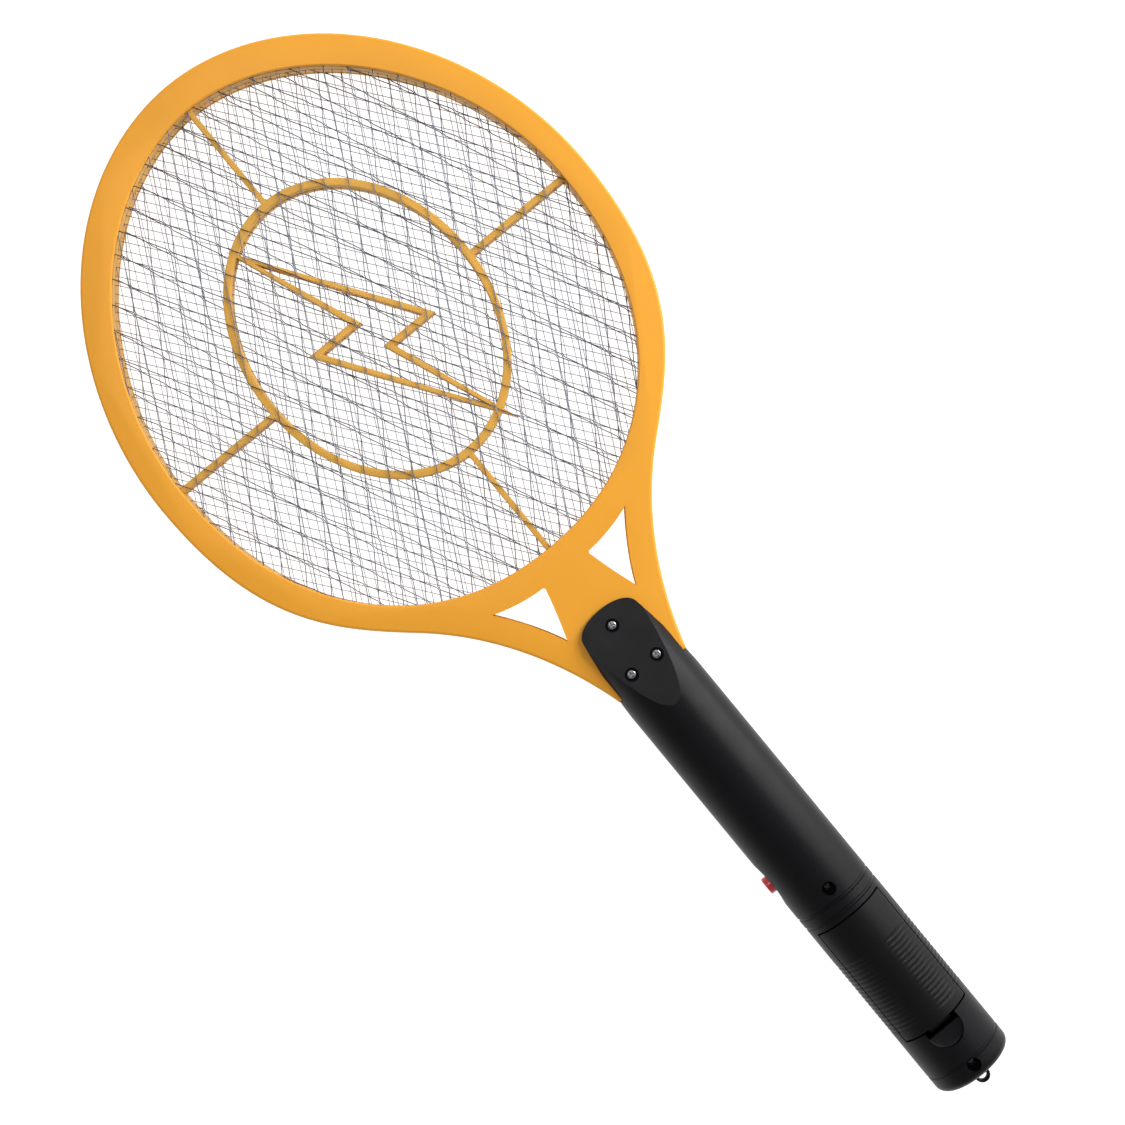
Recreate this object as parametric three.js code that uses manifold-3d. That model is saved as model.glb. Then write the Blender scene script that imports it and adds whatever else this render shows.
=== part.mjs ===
// Electric fly swatter: an egg-shaped head with three wire grids, a round handle with two AA cells,
// a push button in the side and the high-voltage electronics inside. Millimetres.
// The swatter lies flat on a floor with its battery door up (+Z) and its head to +Y. While it is built,
// the butt end is at y = 0 and the handle's axis is x = 0, z = 0. The last lines move the origin to the
// middle of the floor under it.
import * as THREE from 'three';
import { mergeVertices, mergeGeometries } from 'three/addons/utils/BufferGeometryUtils.js';
import Module from 'manifold-3d';

const wasm = await Module();
wasm.setup();

// ---- driving dimensions ------------------------------------------------------------------------
// Places along the handle and head are counted from the butt end unless a comment says otherwise.
const GAP = 0.3;                    // air between two fixed pieces that touch
const JOIN = 0.6;                   // how far shapes of one piece run into each other
const PAST = 1;                     // how far a cutting shape runs past the face it cuts
const FAR = 40;                     // beyond the outside of the handle
const SIDES = [-1, 1];

// overall sizes
const handleRadius = 17.25;
const headLength = 300.9;           // from the end of the handle's side walls to the top of the head
const headHalfWidth = 108.1;
const headThickness = 14.0;

// walls
const handleWall = 2.0;
const headFaceWall = 1.5;
const headSideWall = 2.2;
const windowWall = 1.8;
const handleEndRadius = 3.6;        // rounding of the butt end
const headEdgeRounding = 1.2;
const gripSegments = 36;

// neck of the handle: a flat, sloping pad over the head's shank
const facetLength = 46.6;
const tongueLength = 33.6;          // from the end of the side walls to the tip of the pad
const tongueRise = 1.4;             // height of the pad's tip over the head's face
const tongueTaper = 3.95;           // how much narrower than the handle the pad is at its shoulder
const tongueTipLength = 4.6;
const neckPocketWidth = 21.0;
const neckPocketEnd = 5.0;          // the hollow under the pad stops this far before its shoulder
const shankLength = 11.6;           // how far the head reaches into the handle

// outline of the head
const crownLength = 127.7;          // from the widest place to the top
const headExponent = 1.95;
const waistHalfWidth = 60.8;        // where the egg turns into the wings
const waistPlace = 71.8;            // from the end of the handle's side walls
const waistSlope = 1.15;
const cheekReach = [22.5, 58.0];    // handles of the curve from waist to widest place
const wingReach = [27.6, 18.9];     // handles of the curve from handle to waist
const wingLean = 7.5;
const outlineSteps = 13;            // points in each quarter of the head's outlines

// opening of the head
const rimAtTop = 12.7;
const rimAtSide = 10.7;
const neckLength = 65.0;            // from the end of the handle's side walls to the opening
const holeOffset = 0.6;             // its widest place, above the head's own
const holeTopExponent = 1.9;
const holeBottomExponent = 2.15;

// triangular windows in the neck: corners and the bulge of each side, counted from the side walls' end
const windowCorners = [[35.4, 59.8], [10.2, 54.7], [17.5, 30.3]];
const windowBulges = [[22.5, 55.0], [12.9, 42.9], [23.2, 44.0]];

// grids
const coarseWire = 0.6;
const fineWire = 0.5;
const gridStrand = 1.4;
const gridOverlap = 3.0;            // how far a grid runs under the head's rim
const rimKeep = 1.5;                // solid edge that a grid keeps inside the rim
const coarseCell = [21.2, 38.8];    // width and length of a diamond
const fineCell = [34.4, 38.4];
const cellReach = 0.985;            // share of the opening within which cells are open

// spacers between the grids
const spacerRim = 2.4;
const spokeWidth = 2.4;
const ringOffset = 3.7;             // its centre, above the opening's widest place
const ringHalfWidth = 51.1;
const ringHalfLength = 64.4;
const ringBand = 3.2;
const boltStroke = 2.5;
const boltTip = [20.9, 56.2];
const boltShoulder = [22.5, 7.6];
const boltNotch = 2.3;

// cells and their contacts
const cellRadius = 7.1;
const cellLength = 49.2;
const cellNubRadius = 2.7;
const cellNubLength = 1.3;
const cellBevel = 0.5;
const cellClearance = 0.4;
const cellHeight = -1.0;
const bulkheadThickness = 1.6;
const bulkheadRise = 1.5;           // over the middle plane, into the rear half
const cradleShares = [0.22, 0.78];  // the ribs' places along the cell bay
const cradleTop = -3.0;
const contactThickness = 0.6;
const contactHalfHeight = 5.0;
const contactEdge = 1.2;            // half the distance between the two upper contacts
const springLength = 3.4;
const springWire = 0.7;
const springTurns = 3;
const springSteps = 10;             // points in each turn
const springRadii = [4.2, 2.8];

// battery door
const doorBottom = 27.4;
const doorInset = 2.55;             // how much narrower than the handle's radius half the door is
const doorSideGap = 0.35;
const doorEndGap = 0.75;
const doorLap = 1.0;                // how far the door stops short of the cell bay's end wall
const hookSpread = 5.0;             // the two hooks' places on either side of the middle
const hookHalfWidth = 2.0;
const hookDrop = 4.2;               // underside of a hook below the door's inner face
const hookThickness = 1.6;
const hookReach = 2.6;              // past the door's upper edge, under the shell
const hookRoot = 4.0;
const tabRoot = 2.4;
const latchHalfWidth = 5.0;
const latchLength = 2.6;
const latchDrop = 2.6;
const latchThickness = 1.4;
const latchRoot = 3.0;
const latchSlotLength = 3.8;
const thumbRadius = 7.6;
const thumbOffset = 3.4;
const thumbDepth = 2.4;

// ring grooves
const grooveDepth = 0.5;
const grooveWidth = 1.6;
const buttGroove = 8.4;
const doorGrooves = [2.9, 7.6];     // counted from the door's upper edge

// push button and its switch
const buttonPlace = 25.8;           // counted from the door's upper edge
const buttonRadius = 3.6;
const buttonProud = 1.55;
const buttonTravel = 1.2;
const buttonClearance = 0.25;
const dishRadius = 36.4;
const dishDepth = 1.4;
const flangeRim = 1.4;
const flangeThickness = 1.2;
const switchDepth = 5.4;
const switchWidth = 6.0;
const plungerRadius = 1.7;
const plungerLength = 1.9;

// circuit board, counted from the door's upper edge
const boardWidth = 23.0;
const boardPlace = 18.3;
const boardLength = 78.5;
const boardThickness = 1.6;
const boardTop = -3.3;
const standoffRadius = 1.8;
const standoffInset = 12.0;         // from each end of the board
const standoffSpread = 8.0;

// parts on the board: places are counted from its lower end
const ledRadius = 1.5;
const ledPlace = 26.5;
const ledSink = 0.8;                // its body ends this far inside the handle's surface
const ledLeg = 0.5;
const transformerPlace = 43.5;
const transformerSize = [12.8, 12.4, 11.0];
const coreWall = 2.2;
const coilLap = 1.4;                // how far the winding stands out of the core at each end
const filmPlace = 61.5;
const filmSize = [17.0, 7.0, 11.0];
const discPlace = 35.9;
const discRadius = 3.8;
const discThickness = 2.8;
const discSpread = 4.4;
const diodePlace = 18.0;
const diodeColumns = [-1.0, 3.0, 7.0];
const diodeRadius = 1.35;
const diodeLength = 5.2;
const transistorPlace = 28.0;
const transistorColumn = 6.5;
const transistorRadius = 2.4;
const transistorLength = 4.5;
const resistorPlaces = [13.0, 28.5];
const resistorEnds = [-8.5, -2.2];
const resistorRadius = 1.2;

// leads
const batteryLeadRadius = 0.6;
const gridLeadRadius = 0.5;
const leadExit = 2.9;               // half width of the wire notch at the shank's end
const leadRoom = 10.95;             // from the board to the shank, for the grid leads to rise in
const leadRows = [-5.0, -1.6, 3.0]; // where the rear, front and centre grid leads end on the board
const leadSpread = 1.2;             // height of the outer grid leads over the middle plane

// screws
const screwHeadRadius = 2.4;
const screwShankRadius = 1.25;
const screwHeadHeight = 1.4;
const crossSlot = [3.0, 0.7, 1.1];  // length, width and depth of each slot of the cross
const counterboreRadius = 2.8;
const bossRadius = 3.4;
const neckBossRadius = 3.8;
const buttBossRadius = 4.0;
const bossParting = [5.5, 5.2];     // heights where the rear and front halves of a grip boss end
const frameBossRadius = 3.0;
const neckScrewPlaces = [[0, 25.7], [-6.3, 6.2], [6.3, 6.2]]; // counted from the side walls' end
const gripScrewPlace = 13.2;        // counted from the door's upper edge
const buttScrewPlace = 5.9;
const neckScrewDepth = 0.5;         // head's top face below the pad
const gripScrewDepth = 4.4;
const gripScrewReach = 5.5;         // how far below the axis its tip ends

// lanyard eye on the butt end
const eyeHole = 1.8;
const eyeRadius = 3.2;
const eyeCentre = 4.6;
const eyeThickness = 3.0;

// ---- places that follow from them --------------------------------------------------------------
const bayBottom = doorBottom - doorEndGap - 1;
const positiveGap = contactThickness + 2 * GAP;
const bayLength = cellLength + cellNubLength + positiveGap + contactThickness + 3 * GAP + springLength;
const bayTop = bayBottom + bayLength;
const cellSpread = cellRadius + cellClearance;
const contactReach = cellSpread + 5.1;
const doorTop = bayTop - doorLap;
const doorHalfWidth = handleRadius - doorInset;
const thumbCentre = doorBottom - thumbOffset;
const latchSlotEnd = doorBottom - latchSlotLength;
const groovePlaces = [buttGroove, ...doorGrooves.map((place) => doorTop + place)];

const buttonAt = doorTop + buttonPlace;
const buttonReach = handleRadius + buttonProud;
const flangeRadius = buttonRadius + flangeRim;
const flangeOuter = -handleRadius + handleWall + 0.7;
const flangeInner = flangeOuter + flangeThickness;
const plungerTip = flangeInner + GAP;

const boardStart = doorTop + boardPlace;
const boardEnd = boardStart + boardLength;
const deck = boardTop + GAP;        // underside of what stands on the board
const boardUnder = boardTop - boardThickness - GAP;
const ledAt = boardStart + ledPlace;

// Butt end to the end of the handle's side walls: long enough for the cells, the board and the leads.
const handleLength = boardEnd + leadRoom + shankLength;

const faceHeight = headThickness / 2;
const headTop = handleLength + headLength;
const headWidestAt = headTop - crownLength;
const waistAt = handleLength + waistPlace;
const wingEndHalfWidth = handleRadius - 0.25;
const shankEnd = handleLength - shankLength;
const shankHalfWidth = Math.sqrt((handleRadius - handleWall) ** 2 - faceHeight ** 2) - 1;

const tongueEnd = handleLength + tongueLength;
const tongueEndHeight = faceHeight + tongueRise;
const tongueShoulder = tongueEnd - tongueTipLength;
const tongueHalfWidth = handleRadius - tongueTaper;
const facetStart = tongueEnd - facetLength;

const holeTop = headTop - rimAtTop;
const holeBottom = handleLength + neckLength;
const holeHalfWidth = headHalfWidth - rimAtSide;
const holeWidestAt = headWidestAt + holeOffset;
const boltCentre = holeWidestAt + holeOffset;
const ringCentre = holeWidestAt + ringOffset;

const neckScrews = neckScrewPlaces.map(([x, y]) => [x, handleLength + y]);
const gripScrews = [[0, doorTop + gripScrewPlace], [0, buttScrewPlace]];

// layers of the head, from the middle outwards
const lipUnder = faceHeight - headFaceWall;
const coarseTop = lipUnder - GAP;
const coarseBottom = coarseTop - coarseWire;
const spacerTop = coarseBottom - GAP;
const spacerBottom = fineWire / 2 + GAP;

// ---- colours -----------------------------------------------------------------------------------
const LOOKS = {
  orange: { color: 0xf6a832, roughness: 0.42, metalness: 0.0 },
  black: { color: 0x26272b, roughness: 0.6, metalness: 0.0 },
  red: { color: 0xcf2634, roughness: 0.35, metalness: 0.0 },
  steel: { color: 0xb9bcc0, roughness: 0.35, metalness: 0.9 },
  board: { color: 0x9a7a3c, roughness: 0.6, metalness: 0.0 },
  ferrite: { color: 0x2d2b2c, roughness: 0.8, metalness: 0.1 },
  copper: { color: 0xb8642a, roughness: 0.4, metalness: 0.8 },
  maroon: { color: 0x8c2a1c, roughness: 0.4, metalness: 0.0 },
  beige: { color: 0xc9b083, roughness: 0.6, metalness: 0.0 },
  green: { color: 0x3a7a4a, roughness: 0.4, metalness: 0.0 },
  lens: { color: 0xc8dfe8, roughness: 0.1, metalness: 0.0 },
  redWire: { color: 0xb51f1f, roughness: 0.5, metalness: 0.0 },
  blackWire: { color: 0x1b1b1d, roughness: 0.5, metalness: 0.0 },
};

// ---- solids ------------------------------------------------------------------------------------
function solidOf(geometry) {
  const plain = geometry.index ? geometry.clone() : geometry;
  plain.deleteAttribute('normal');
  plain.deleteAttribute('uv');
  const merged = mergeVertices(plain, 1e-4);
  return new wasm.Manifold(new wasm.Mesh({
    numProp: 3,
    vertProperties: new Float32Array(merged.attributes.position.array),
    triVerts: new Uint32Array(merged.index.array),
  }));
}

function geometryOf(solid) {
  const mesh = solid.getMesh();
  const geometry = new THREE.BufferGeometry();
  geometry.setAttribute('position', new THREE.BufferAttribute(new Float32Array(mesh.vertProperties), 3));
  geometry.setIndex(new THREE.BufferAttribute(new Uint32Array(mesh.triVerts), 1));
  return geometry;
}

const union = (solids) => solids.reduce((sum, solid) => sum.add(solid));
const cutAll = (body, tools) => tools.reduce((rest, tool) => rest.subtract(tool), body);

// Box given by its lowest and highest corner.
function box(low, high) {
  const size = high.map((value, i) => value - low[i]);
  const geometry = new THREE.BoxGeometry(...size);
  return solidOf(geometry.translate(...high.map((value, i) => (value + low[i]) / 2)));
}

// Upright cylinder from z = low to z = high.
function post(x, y, radius, low, high, segments = 14) {
  const geometry = new THREE.CylinderGeometry(radius, radius, high - low, segments);
  return solidOf(geometry.rotateX(Math.PI / 2).translate(x, y, (low + high) / 2));
}

// Cylinder along x or y, from low to high on that axis.
function barX(y, z, radius, low, high, segments = 20) {
  const geometry = new THREE.CylinderGeometry(radius, radius, high - low, segments);
  return solidOf(geometry.rotateZ(Math.PI / 2).translate((low + high) / 2, y, z));
}

function barY(x, z, radius, low, high, segments = 20) {
  const geometry = new THREE.CylinderGeometry(radius, radius, high - low, segments);
  return solidOf(geometry.translate(x, (low + high) / 2, z));
}

// Plate with the outline given as [x, y] points, from z = low to z = high, with optional holes.
function plate(outline, low, high, holes = []) {
  const shape = new THREE.Shape(outline.map(([x, y]) => new THREE.Vector2(x, y)));
  for (const hole of holes) {
    shape.holes.push(new THREE.Path(hole.map(([x, y]) => new THREE.Vector2(x, y))));
  }
  const geometry = new THREE.ExtrudeGeometry(shape, { depth: high - low, bevelEnabled: false });
  return solidOf(geometry.translate(0, 0, low));
}

// Body turned about the y axis; the profile lists [radius, y] from one end of the axis to the other.
function turned(profile, segments = gripSegments) {
  const points = profile.map(([radius, y]) => new THREE.Vector2(radius, y));
  return solidOf(new THREE.LatheGeometry(points, segments));
}

// Round wire along a list of [x, y, z] points.
function wire(points, radius, steps = 20, sides = 3) {
  const section = new THREE.Shape();
  section.absarc(0, 0, radius, 0, 2 * Math.PI, false);
  const path = new THREE.CatmullRomCurve3(points.map((point) => new THREE.Vector3(...point)));
  const options = { steps, curveSegments: sides, bevelEnabled: false, extrudePath: path };
  return solidOf(new THREE.ExtrudeGeometry(section, options));
}

// ---- outlines ----------------------------------------------------------------------------------
// Quarter of a superellipse as [x, y] points, from the widest point to the tip.
function quarter(halfWidth, centre, reach, exponent, steps = outlineSteps) {
  const points = [];
  for (let i = 0; i <= steps; i += 1) {
    const angle = (Math.PI / 2) * (i / steps);
    const x = halfWidth * Math.cos(angle) ** (2 / exponent);
    points.push([i === steps ? 0 : x, centre + reach * Math.sin(angle) ** (2 / exponent)]);
  }
  return points;
}

const mirrored = (points) => points.map(([x, y]) => [-x, y]).reverse();

// Closed outline from its right half, listed from the bottom to the top of the axis.
function closed(rightHalf) {
  const left = mirrored(rightHalf).filter(([x]) => Math.abs(x) > 1e-6);
  return [...rightHalf, ...left];
}

function bezier(p0, p1, p2, p3, steps) {
  const [a, b, c, d] = [p0, p1, p2, p3].map(([x, y]) => new THREE.Vector2(x, y));
  const curve = new THREE.CubicBezierCurve(a, b, c, d);
  return curve.getPoints(steps).map((point) => [point.x, point.y]);
}

function holeOutline(grow = 0) {
  const width = holeHalfWidth + grow;
  const up = quarter(width, holeWidestAt, holeTop + grow - holeWidestAt, holeTopExponent);
  const down = quarter(width, holeWidestAt, holeBottom - grow - holeWidestAt, holeBottomExponent);
  return closed([...down.reverse(), ...up.slice(1)]);
}

// Outer outline of the head from the shank inside the handle up to the top, drawn in by inset.
function headOutline(inset = 0) {
  const crown = quarter(headHalfWidth, headWidestAt, headTop - headWidestAt, headExponent);
  const waist = [waistHalfWidth, waistAt];
  const cheek = bezier(waist, [waist[0] + cheekReach[0] * waistSlope, waist[1] + cheekReach[0]],
    [headHalfWidth, headWidestAt - cheekReach[1]], [headHalfWidth, headWidestAt], 12);
  const wingEnd = [wingEndHalfWidth, handleLength + GAP];
  const wing = bezier(wingEnd, [wingEnd[0] + wingLean, handleLength + wingReach[0]],
    [waist[0] - wingReach[1] * waistSlope, waist[1] - wingReach[1]], waist, 10);
  const shank = [[0, shankEnd], [shankHalfWidth, shankEnd], [shankHalfWidth, wingEnd[1]]];
  const rightHalf = [...shank, ...wing, ...cheek.slice(1), ...crown.slice(1)];
  return closed(inset ? drawnIn(rightHalf, inset) : rightHalf);
}

// Moves each point of an open right half inwards, square to the outline.
function drawnIn(points, inset) {
  return points.map((point, i) => {
    const before = points[Math.max(i - 1, 0)];
    const after = points[Math.min(i + 1, points.length - 1)];
    const side = new THREE.Vector2(after[0] - before[0], after[1] - before[1]).normalize();
    if (i === 0) return [0, point[1] + inset];
    if (i === points.length - 1) return [0, point[1] - inset];
    return [point[0] - side.y * inset, point[1] + side.x * inset];
  });
}

// Rounded triangle of a neck window on the side given by sign, grown by grow.
function windowOutline(sign, grow = 0) {
  const [corners, bulges] = [windowCorners, windowBulges]
    .map((list) => list.map(([x, y]) => new THREE.Vector2(x, handleLength + y)));
  const middle = corners[0].clone().add(corners[1]).add(corners[2]).divideScalar(3);
  const points = [];
  corners.forEach((corner, i) => {
    const next = corners[(i + 1) % 3];
    const curve = new THREE.QuadraticBezierCurve(corner, bulges[i], next);
    points.push(...curve.getPoints(6).slice(0, -1));
  });
  return points.map((point) => {
    const away = point.clone().sub(middle).normalize().multiplyScalar(grow * 1.6);
    return [sign * (point.x + away.x), point.y + away.y];
  });
}

function ellipse(centre, halfWidth, halfLength, steps = 48) {
  const points = [];
  for (let i = 0; i < steps; i += 1) {
    const angle = (2 * Math.PI * i) / steps;
    points.push([halfWidth * Math.cos(angle), centre + halfLength * Math.sin(angle)]);
  }
  return points;
}

// ---- head --------------------------------------------------------------------------------------
// Half of the head's shell, on the side z > 0: a rim and a neck, open towards the middle.
function frameHalf() {
  const steps = [faceHeight - headEdgeRounding, faceHeight - headEdgeRounding * 0.35, faceHeight];
  const body = union([
    plate(headOutline(), GAP / 2, steps[0]),
    plate(headOutline(headEdgeRounding * 0.3), JOIN, steps[1]),
    plate(headOutline(headEdgeRounding), JOIN, steps[2]),
  ]);
  const above = faceHeight + PAST;
  const windowPosts = SIDES.map((side) => plate(windowOutline(side, windowWall), -PAST, lipUnder));
  const bosses = neckScrews.map(([x, y]) => post(x, y, frameBossRadius, -PAST, lipUnder));
  const room = plate(headOutline(headSideWall), -PAST, lipUnder);
  const hollow = cutAll(room, [...windowPosts, ...bosses]);
  const holes = neckScrews.map(([x, y]) => post(x, y, screwShankRadius + GAP, -PAST, above));
  const windows = SIDES.map((side) => plate(windowOutline(side), -PAST, above));
  const opening = plate(holeOutline(), -PAST, above);
  const wireExit = box([-leadExit, shankEnd - PAST, -PAST],
    [leadExit, shankEnd + headSideWall + PAST, leadExit]);
  return cutAll(body, [hollow, opening, wireExit, ...holes, ...windows]);
}

// Diamond lattice in the outline of the head's opening. Cells stop inside the rim.
function grid(cell, thickness, middle) {
  const low = middle - thickness / 2;
  const high = middle + thickness / 2;
  const sheet = plate(holeOutline(gridOverlap), low, high);
  const [width, length] = cell;
  const grow = gridStrand / 2;
  const halfWidth = width / 2 - grow * Math.hypot(width, length) / length;
  const halfLength = length / 2 - grow * Math.hypot(width, length) / width;
  const prisms = [];
  const opening = plate(holeOutline(-rimKeep), low - PAST, high + PAST);
  const rows = Math.ceil((holeTop - holeBottom) / length) + 1;
  const columns = Math.ceil(holeHalfWidth / width) + 1;
  for (let row = -rows; row <= rows; row += 1) {
    for (let column = -columns; column <= columns; column += 1) {
      const x = (column + (row % 2 ? 0.5 : 0)) * width;
      const y = holeWidestAt + (row * length) / 2;
      if (!isCellInside(x, y, halfWidth, halfLength)) continue;
      const shape = new THREE.Shape([[0, -halfLength], [halfWidth, 0], [0, halfLength], [-halfWidth, 0]]
        .map(([dx, dy]) => new THREE.Vector2(x + dx, y + dy)));
      const prism = new THREE.ExtrudeGeometry(shape, { depth: thickness + 2 * PAST, bevelEnabled: false });
      prisms.push(prism.translate(0, 0, low - PAST));
    }
  }
  const openings = solidOf(mergeGeometries(prisms));
  return sheet.subtract(openings.intersect(opening));
}

function isCellInside(x, y, halfWidth, halfLength) {
  const reach = y > holeWidestAt ? holeTop - holeWidestAt : holeWidestAt - holeBottom;
  const across = (Math.abs(x) - halfWidth * 0.5) / holeHalfWidth;
  const along = (Math.abs(y - holeWidestAt) - halfLength * 0.5) / reach;
  return Math.hypot(Math.max(across, 0), Math.max(along, 0)) < cellReach;
}

// Straight bar of a given width between two [x, y] points.
function strip([x0, y0], [x1, y1], width, low, high, overrun = 0) {
  const length = Math.hypot(x1 - x0, y1 - y0) + 2 * overrun;
  const geometry = new THREE.BoxGeometry(length, width, high - low);
  geometry.rotateZ(Math.atan2(y1 - y0, x1 - x0));
  return solidOf(geometry.translate((x0 + x1) / 2, (y0 + y1) / 2, (low + high) / 2));
}

// Spacer between the fine grid and a coarse grid: rim, four spokes, inner ring and a zigzag flash.
function spacer(low, high) {
  const rim = plate(holeOutline(spacerRim), low, high, [holeOutline()]);
  const ring = plate(ellipse(ringCentre, ringHalfWidth, ringHalfLength), low, high,
    [ellipse(ringCentre, ringHalfWidth - ringBand, ringHalfLength - ringBand)]);
  const spokeEnds = [
    [[0, ringCentre + ringHalfLength - JOIN], [0, holeTop + JOIN]],
    [[0, ringCentre - ringHalfLength + JOIN], [0, holeBottom - JOIN]],
    [[ringHalfWidth - JOIN, boltCentre], [holeHalfWidth + JOIN, boltCentre]],
    [[-ringHalfWidth + JOIN, boltCentre], [-holeHalfWidth - JOIN, boltCentre]],
  ];
  const spokes = spokeEnds.map(([from, to]) => strip(from, to, spokeWidth, low, high));
  const shoulder = -boltShoulder[1];
  const half = [[-boltTip[0], boltTip[1]], [boltShoulder[0], shoulder], [boltNotch, shoulder]];
  const corners = [...half, ...half.map(([x, y]) => [-x, -y])].map(([x, y]) => [x, boltCentre + y]);
  const strokes = corners.map((corner, i) =>
    strip(corner, corners[(i + 1) % corners.length], boltStroke, low, high, boltStroke / 3));
  return union([rim, ring, ...spokes, ...strokes]);
}

// ---- handle ------------------------------------------------------------------------------------
// Profile of the grip from the butt end, with its ring grooves, drawn in by inset.
function gripBody(inset = 0, withGrooves = true) {
  const radius = handleRadius - inset;
  const corner = handleEndRadius - Math.min(inset, handleEndRadius - 0.8);
  const profile = [[0, inset]];
  for (let i = 0; i <= 4; i += 1) {
    const angle = (Math.PI / 2) * (i / 4);
    profile.push([radius - corner + corner * Math.sin(angle), inset + corner - corner * Math.cos(angle)]);
  }
  if (withGrooves) {
    for (const y of groovePlaces) {
      const half = grooveWidth / 2;
      profile.push([radius, y - half], [radius - grooveDepth, y - half / 2]);
      profile.push([radius - grooveDepth, y + half / 2], [radius, y + half]);
    }
  }
  profile.push([radius, tongueEnd + 2 * PAST], [0, tongueEnd + 2 * PAST]);
  return turned(profile);
}

// Outline of the handle seen from above, from the butt end to the tip of the pad.
function tongueOutline(inset = 0) {
  const wide = handleRadius + 1 - inset;
  const side = new THREE.QuadraticBezierCurve(
    new THREE.Vector2(handleRadius - inset, handleLength - 7.6),
    new THREE.Vector2(handleRadius - 0.65 - inset, handleLength + 8.4),
    new THREE.Vector2(tongueHalfWidth + 0.2 - inset, tongueShoulder - 2.2));
  const tip = new THREE.CubicBezierCurve(
    new THREE.Vector2(tongueHalfWidth - inset, tongueShoulder - 1.2 - inset * 0.5),
    new THREE.Vector2(tongueHalfWidth - 0.6 - inset, tongueShoulder + 1.6 - inset),
    new THREE.Vector2(tongueHalfWidth * 0.6, tongueEnd - inset),
    new THREE.Vector2(0, tongueEnd - inset));
  const points = [[0, -2], [wide, -2], [wide, handleLength - 10]];
  points.push(...side.getPoints(6).map((point) => [point.x, point.y]));
  points.push(...tip.getPoints(8).map((point) => [Math.max(point.x, 0), point.y]));
  return closed(points);
}

// Height of the pad's sloping face at a place along the handle.
function facetHeight(y) {
  const slope = (handleRadius - tongueEndHeight) / (tongueEnd - facetStart);
  return handleRadius - slope * (y - facetStart);
}

// Space above the sloping face, lowered by drop.
function aboveFacet(drop = 0) {
  const end = tongueEnd + 6 * PAST;
  const start = facetStart - 12 * PAST;
  const face = [[start, facetHeight(start) - drop], [end, facetHeight(end) - drop]];
  const shape = new THREE.Shape([...face, [end, FAR], [start, FAR]].map(([y, z]) => new THREE.Vector2(y, z)));
  const geometry = new THREE.ExtrudeGeometry(shape, { depth: 2 * FAR, bevelEnabled: false });
  const turn = new THREE.Matrix4().set(0, 0, 1, -FAR, 1, 0, 0, 0, 0, 1, 0, 0, 0, 0, 0, 1);
  return solidOf(geometry.applyMatrix4(turn));
}

// One half of the handle's shell on the side z > 0, without its screw bosses and openings.
function shellHalf() {
  const outside = gripBody()
    .intersect(plate(tongueOutline(), GAP / 2, FAR))
    .subtract(aboveFacet());
  const cavity = gripBody(handleWall, false)
    .intersect(plate(tongueOutline(handleWall), -FAR, FAR))
    .intersect(box([-FAR, -PAST, -FAR], [FAR, handleLength - 2 * handleWall, FAR]))
    .subtract(aboveFacet(handleWall));
  const seatTop = faceHeight + GAP;
  const seat = box([-FAR, handleLength, -PAST], [FAR, tongueEnd + 8 * PAST, seatTop]);
  const shankSeat = box([-shankHalfWidth - GAP, shankEnd - GAP, -PAST],
    [shankHalfWidth + GAP, handleLength + PAST, seatTop]);
  const pocket = box([-neckPocketWidth / 2, handleLength - 2 * handleWall - JOIN, 0],
    [neckPocketWidth / 2, tongueShoulder - neckPocketEnd, FAR]).subtract(aboveFacet(handleWall));
  const bosses = neckScrews.map(([x, y]) => post(x, y, neckBossRadius, 0, FAR));
  return cutAll(outside, [cavity, seat, shankSeat, cutAll(pocket, bosses)]);
}

// Flips a solid to the other side of the middle plane.
function flipped(solid) {
  const geometry = geometryOf(solid);
  return solidOf(geometry.rotateY(Math.PI));
}

const screwTop = ([x, y], depth) => (y > facetStart ? facetHeight(y) : handleRadius) - depth;

// Holes that a screw needs in the shell it is driven from.
function screwSeat([x, y], depth, shellUnder) {
  const head = screwTop([x, y], depth);
  return post(x, y, counterboreRadius, head - screwHeadHeight - GAP, FAR)
    .add(post(x, y, screwShankRadius + GAP, shellUnder - PAST, head));
}

function rearShell() {
  const [opening, slotHalf] = [doorHalfWidth + doorSideGap, thumbRadius - GAP];
  const doorOpening = box([-opening, doorBottom - doorEndGap, handleWall],
    [opening, doorTop + doorSideGap, FAR]);
  const slot = box([-slotHalf, latchSlotEnd, 2 * handleWall], [slotHalf, doorBottom, FAR]);
  const recessFloor = handleRadius - thumbDepth;
  const padRadius = thumbRadius + 2 * JOIN;
  const thumbPad = post(0, thumbCentre, padRadius, recessFloor - handleWall, handleRadius - JOIN)
    .intersect(box([-padRadius, buttGroove, 0], [padRadius, latchSlotEnd + PAST, FAR]))
    .intersect(gripBody(GAP, false));
  const thumbRecess = post(0, thumbCentre, thumbRadius, recessFloor, FAR, 32);
  const inWall = gripBody(handleWall / 2, false);
  const bosses = gripScrews.map(([x, y]) =>
    post(x, y, buttBossRadius, bossParting[0], FAR).intersect(inWall));
  const grown = union([shellHalf(), thumbPad, ...bosses]);
  const seats = [...neckScrews.map((place) => screwSeat(place, neckScrewDepth, 0)),
    ...gripScrews.map((place) => screwSeat(place, gripScrewDepth, 0))];
  return cutAll(grown, [doorOpening, slot, thumbRecess, ...seats, ...buttonCuts()]);
}

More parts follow.
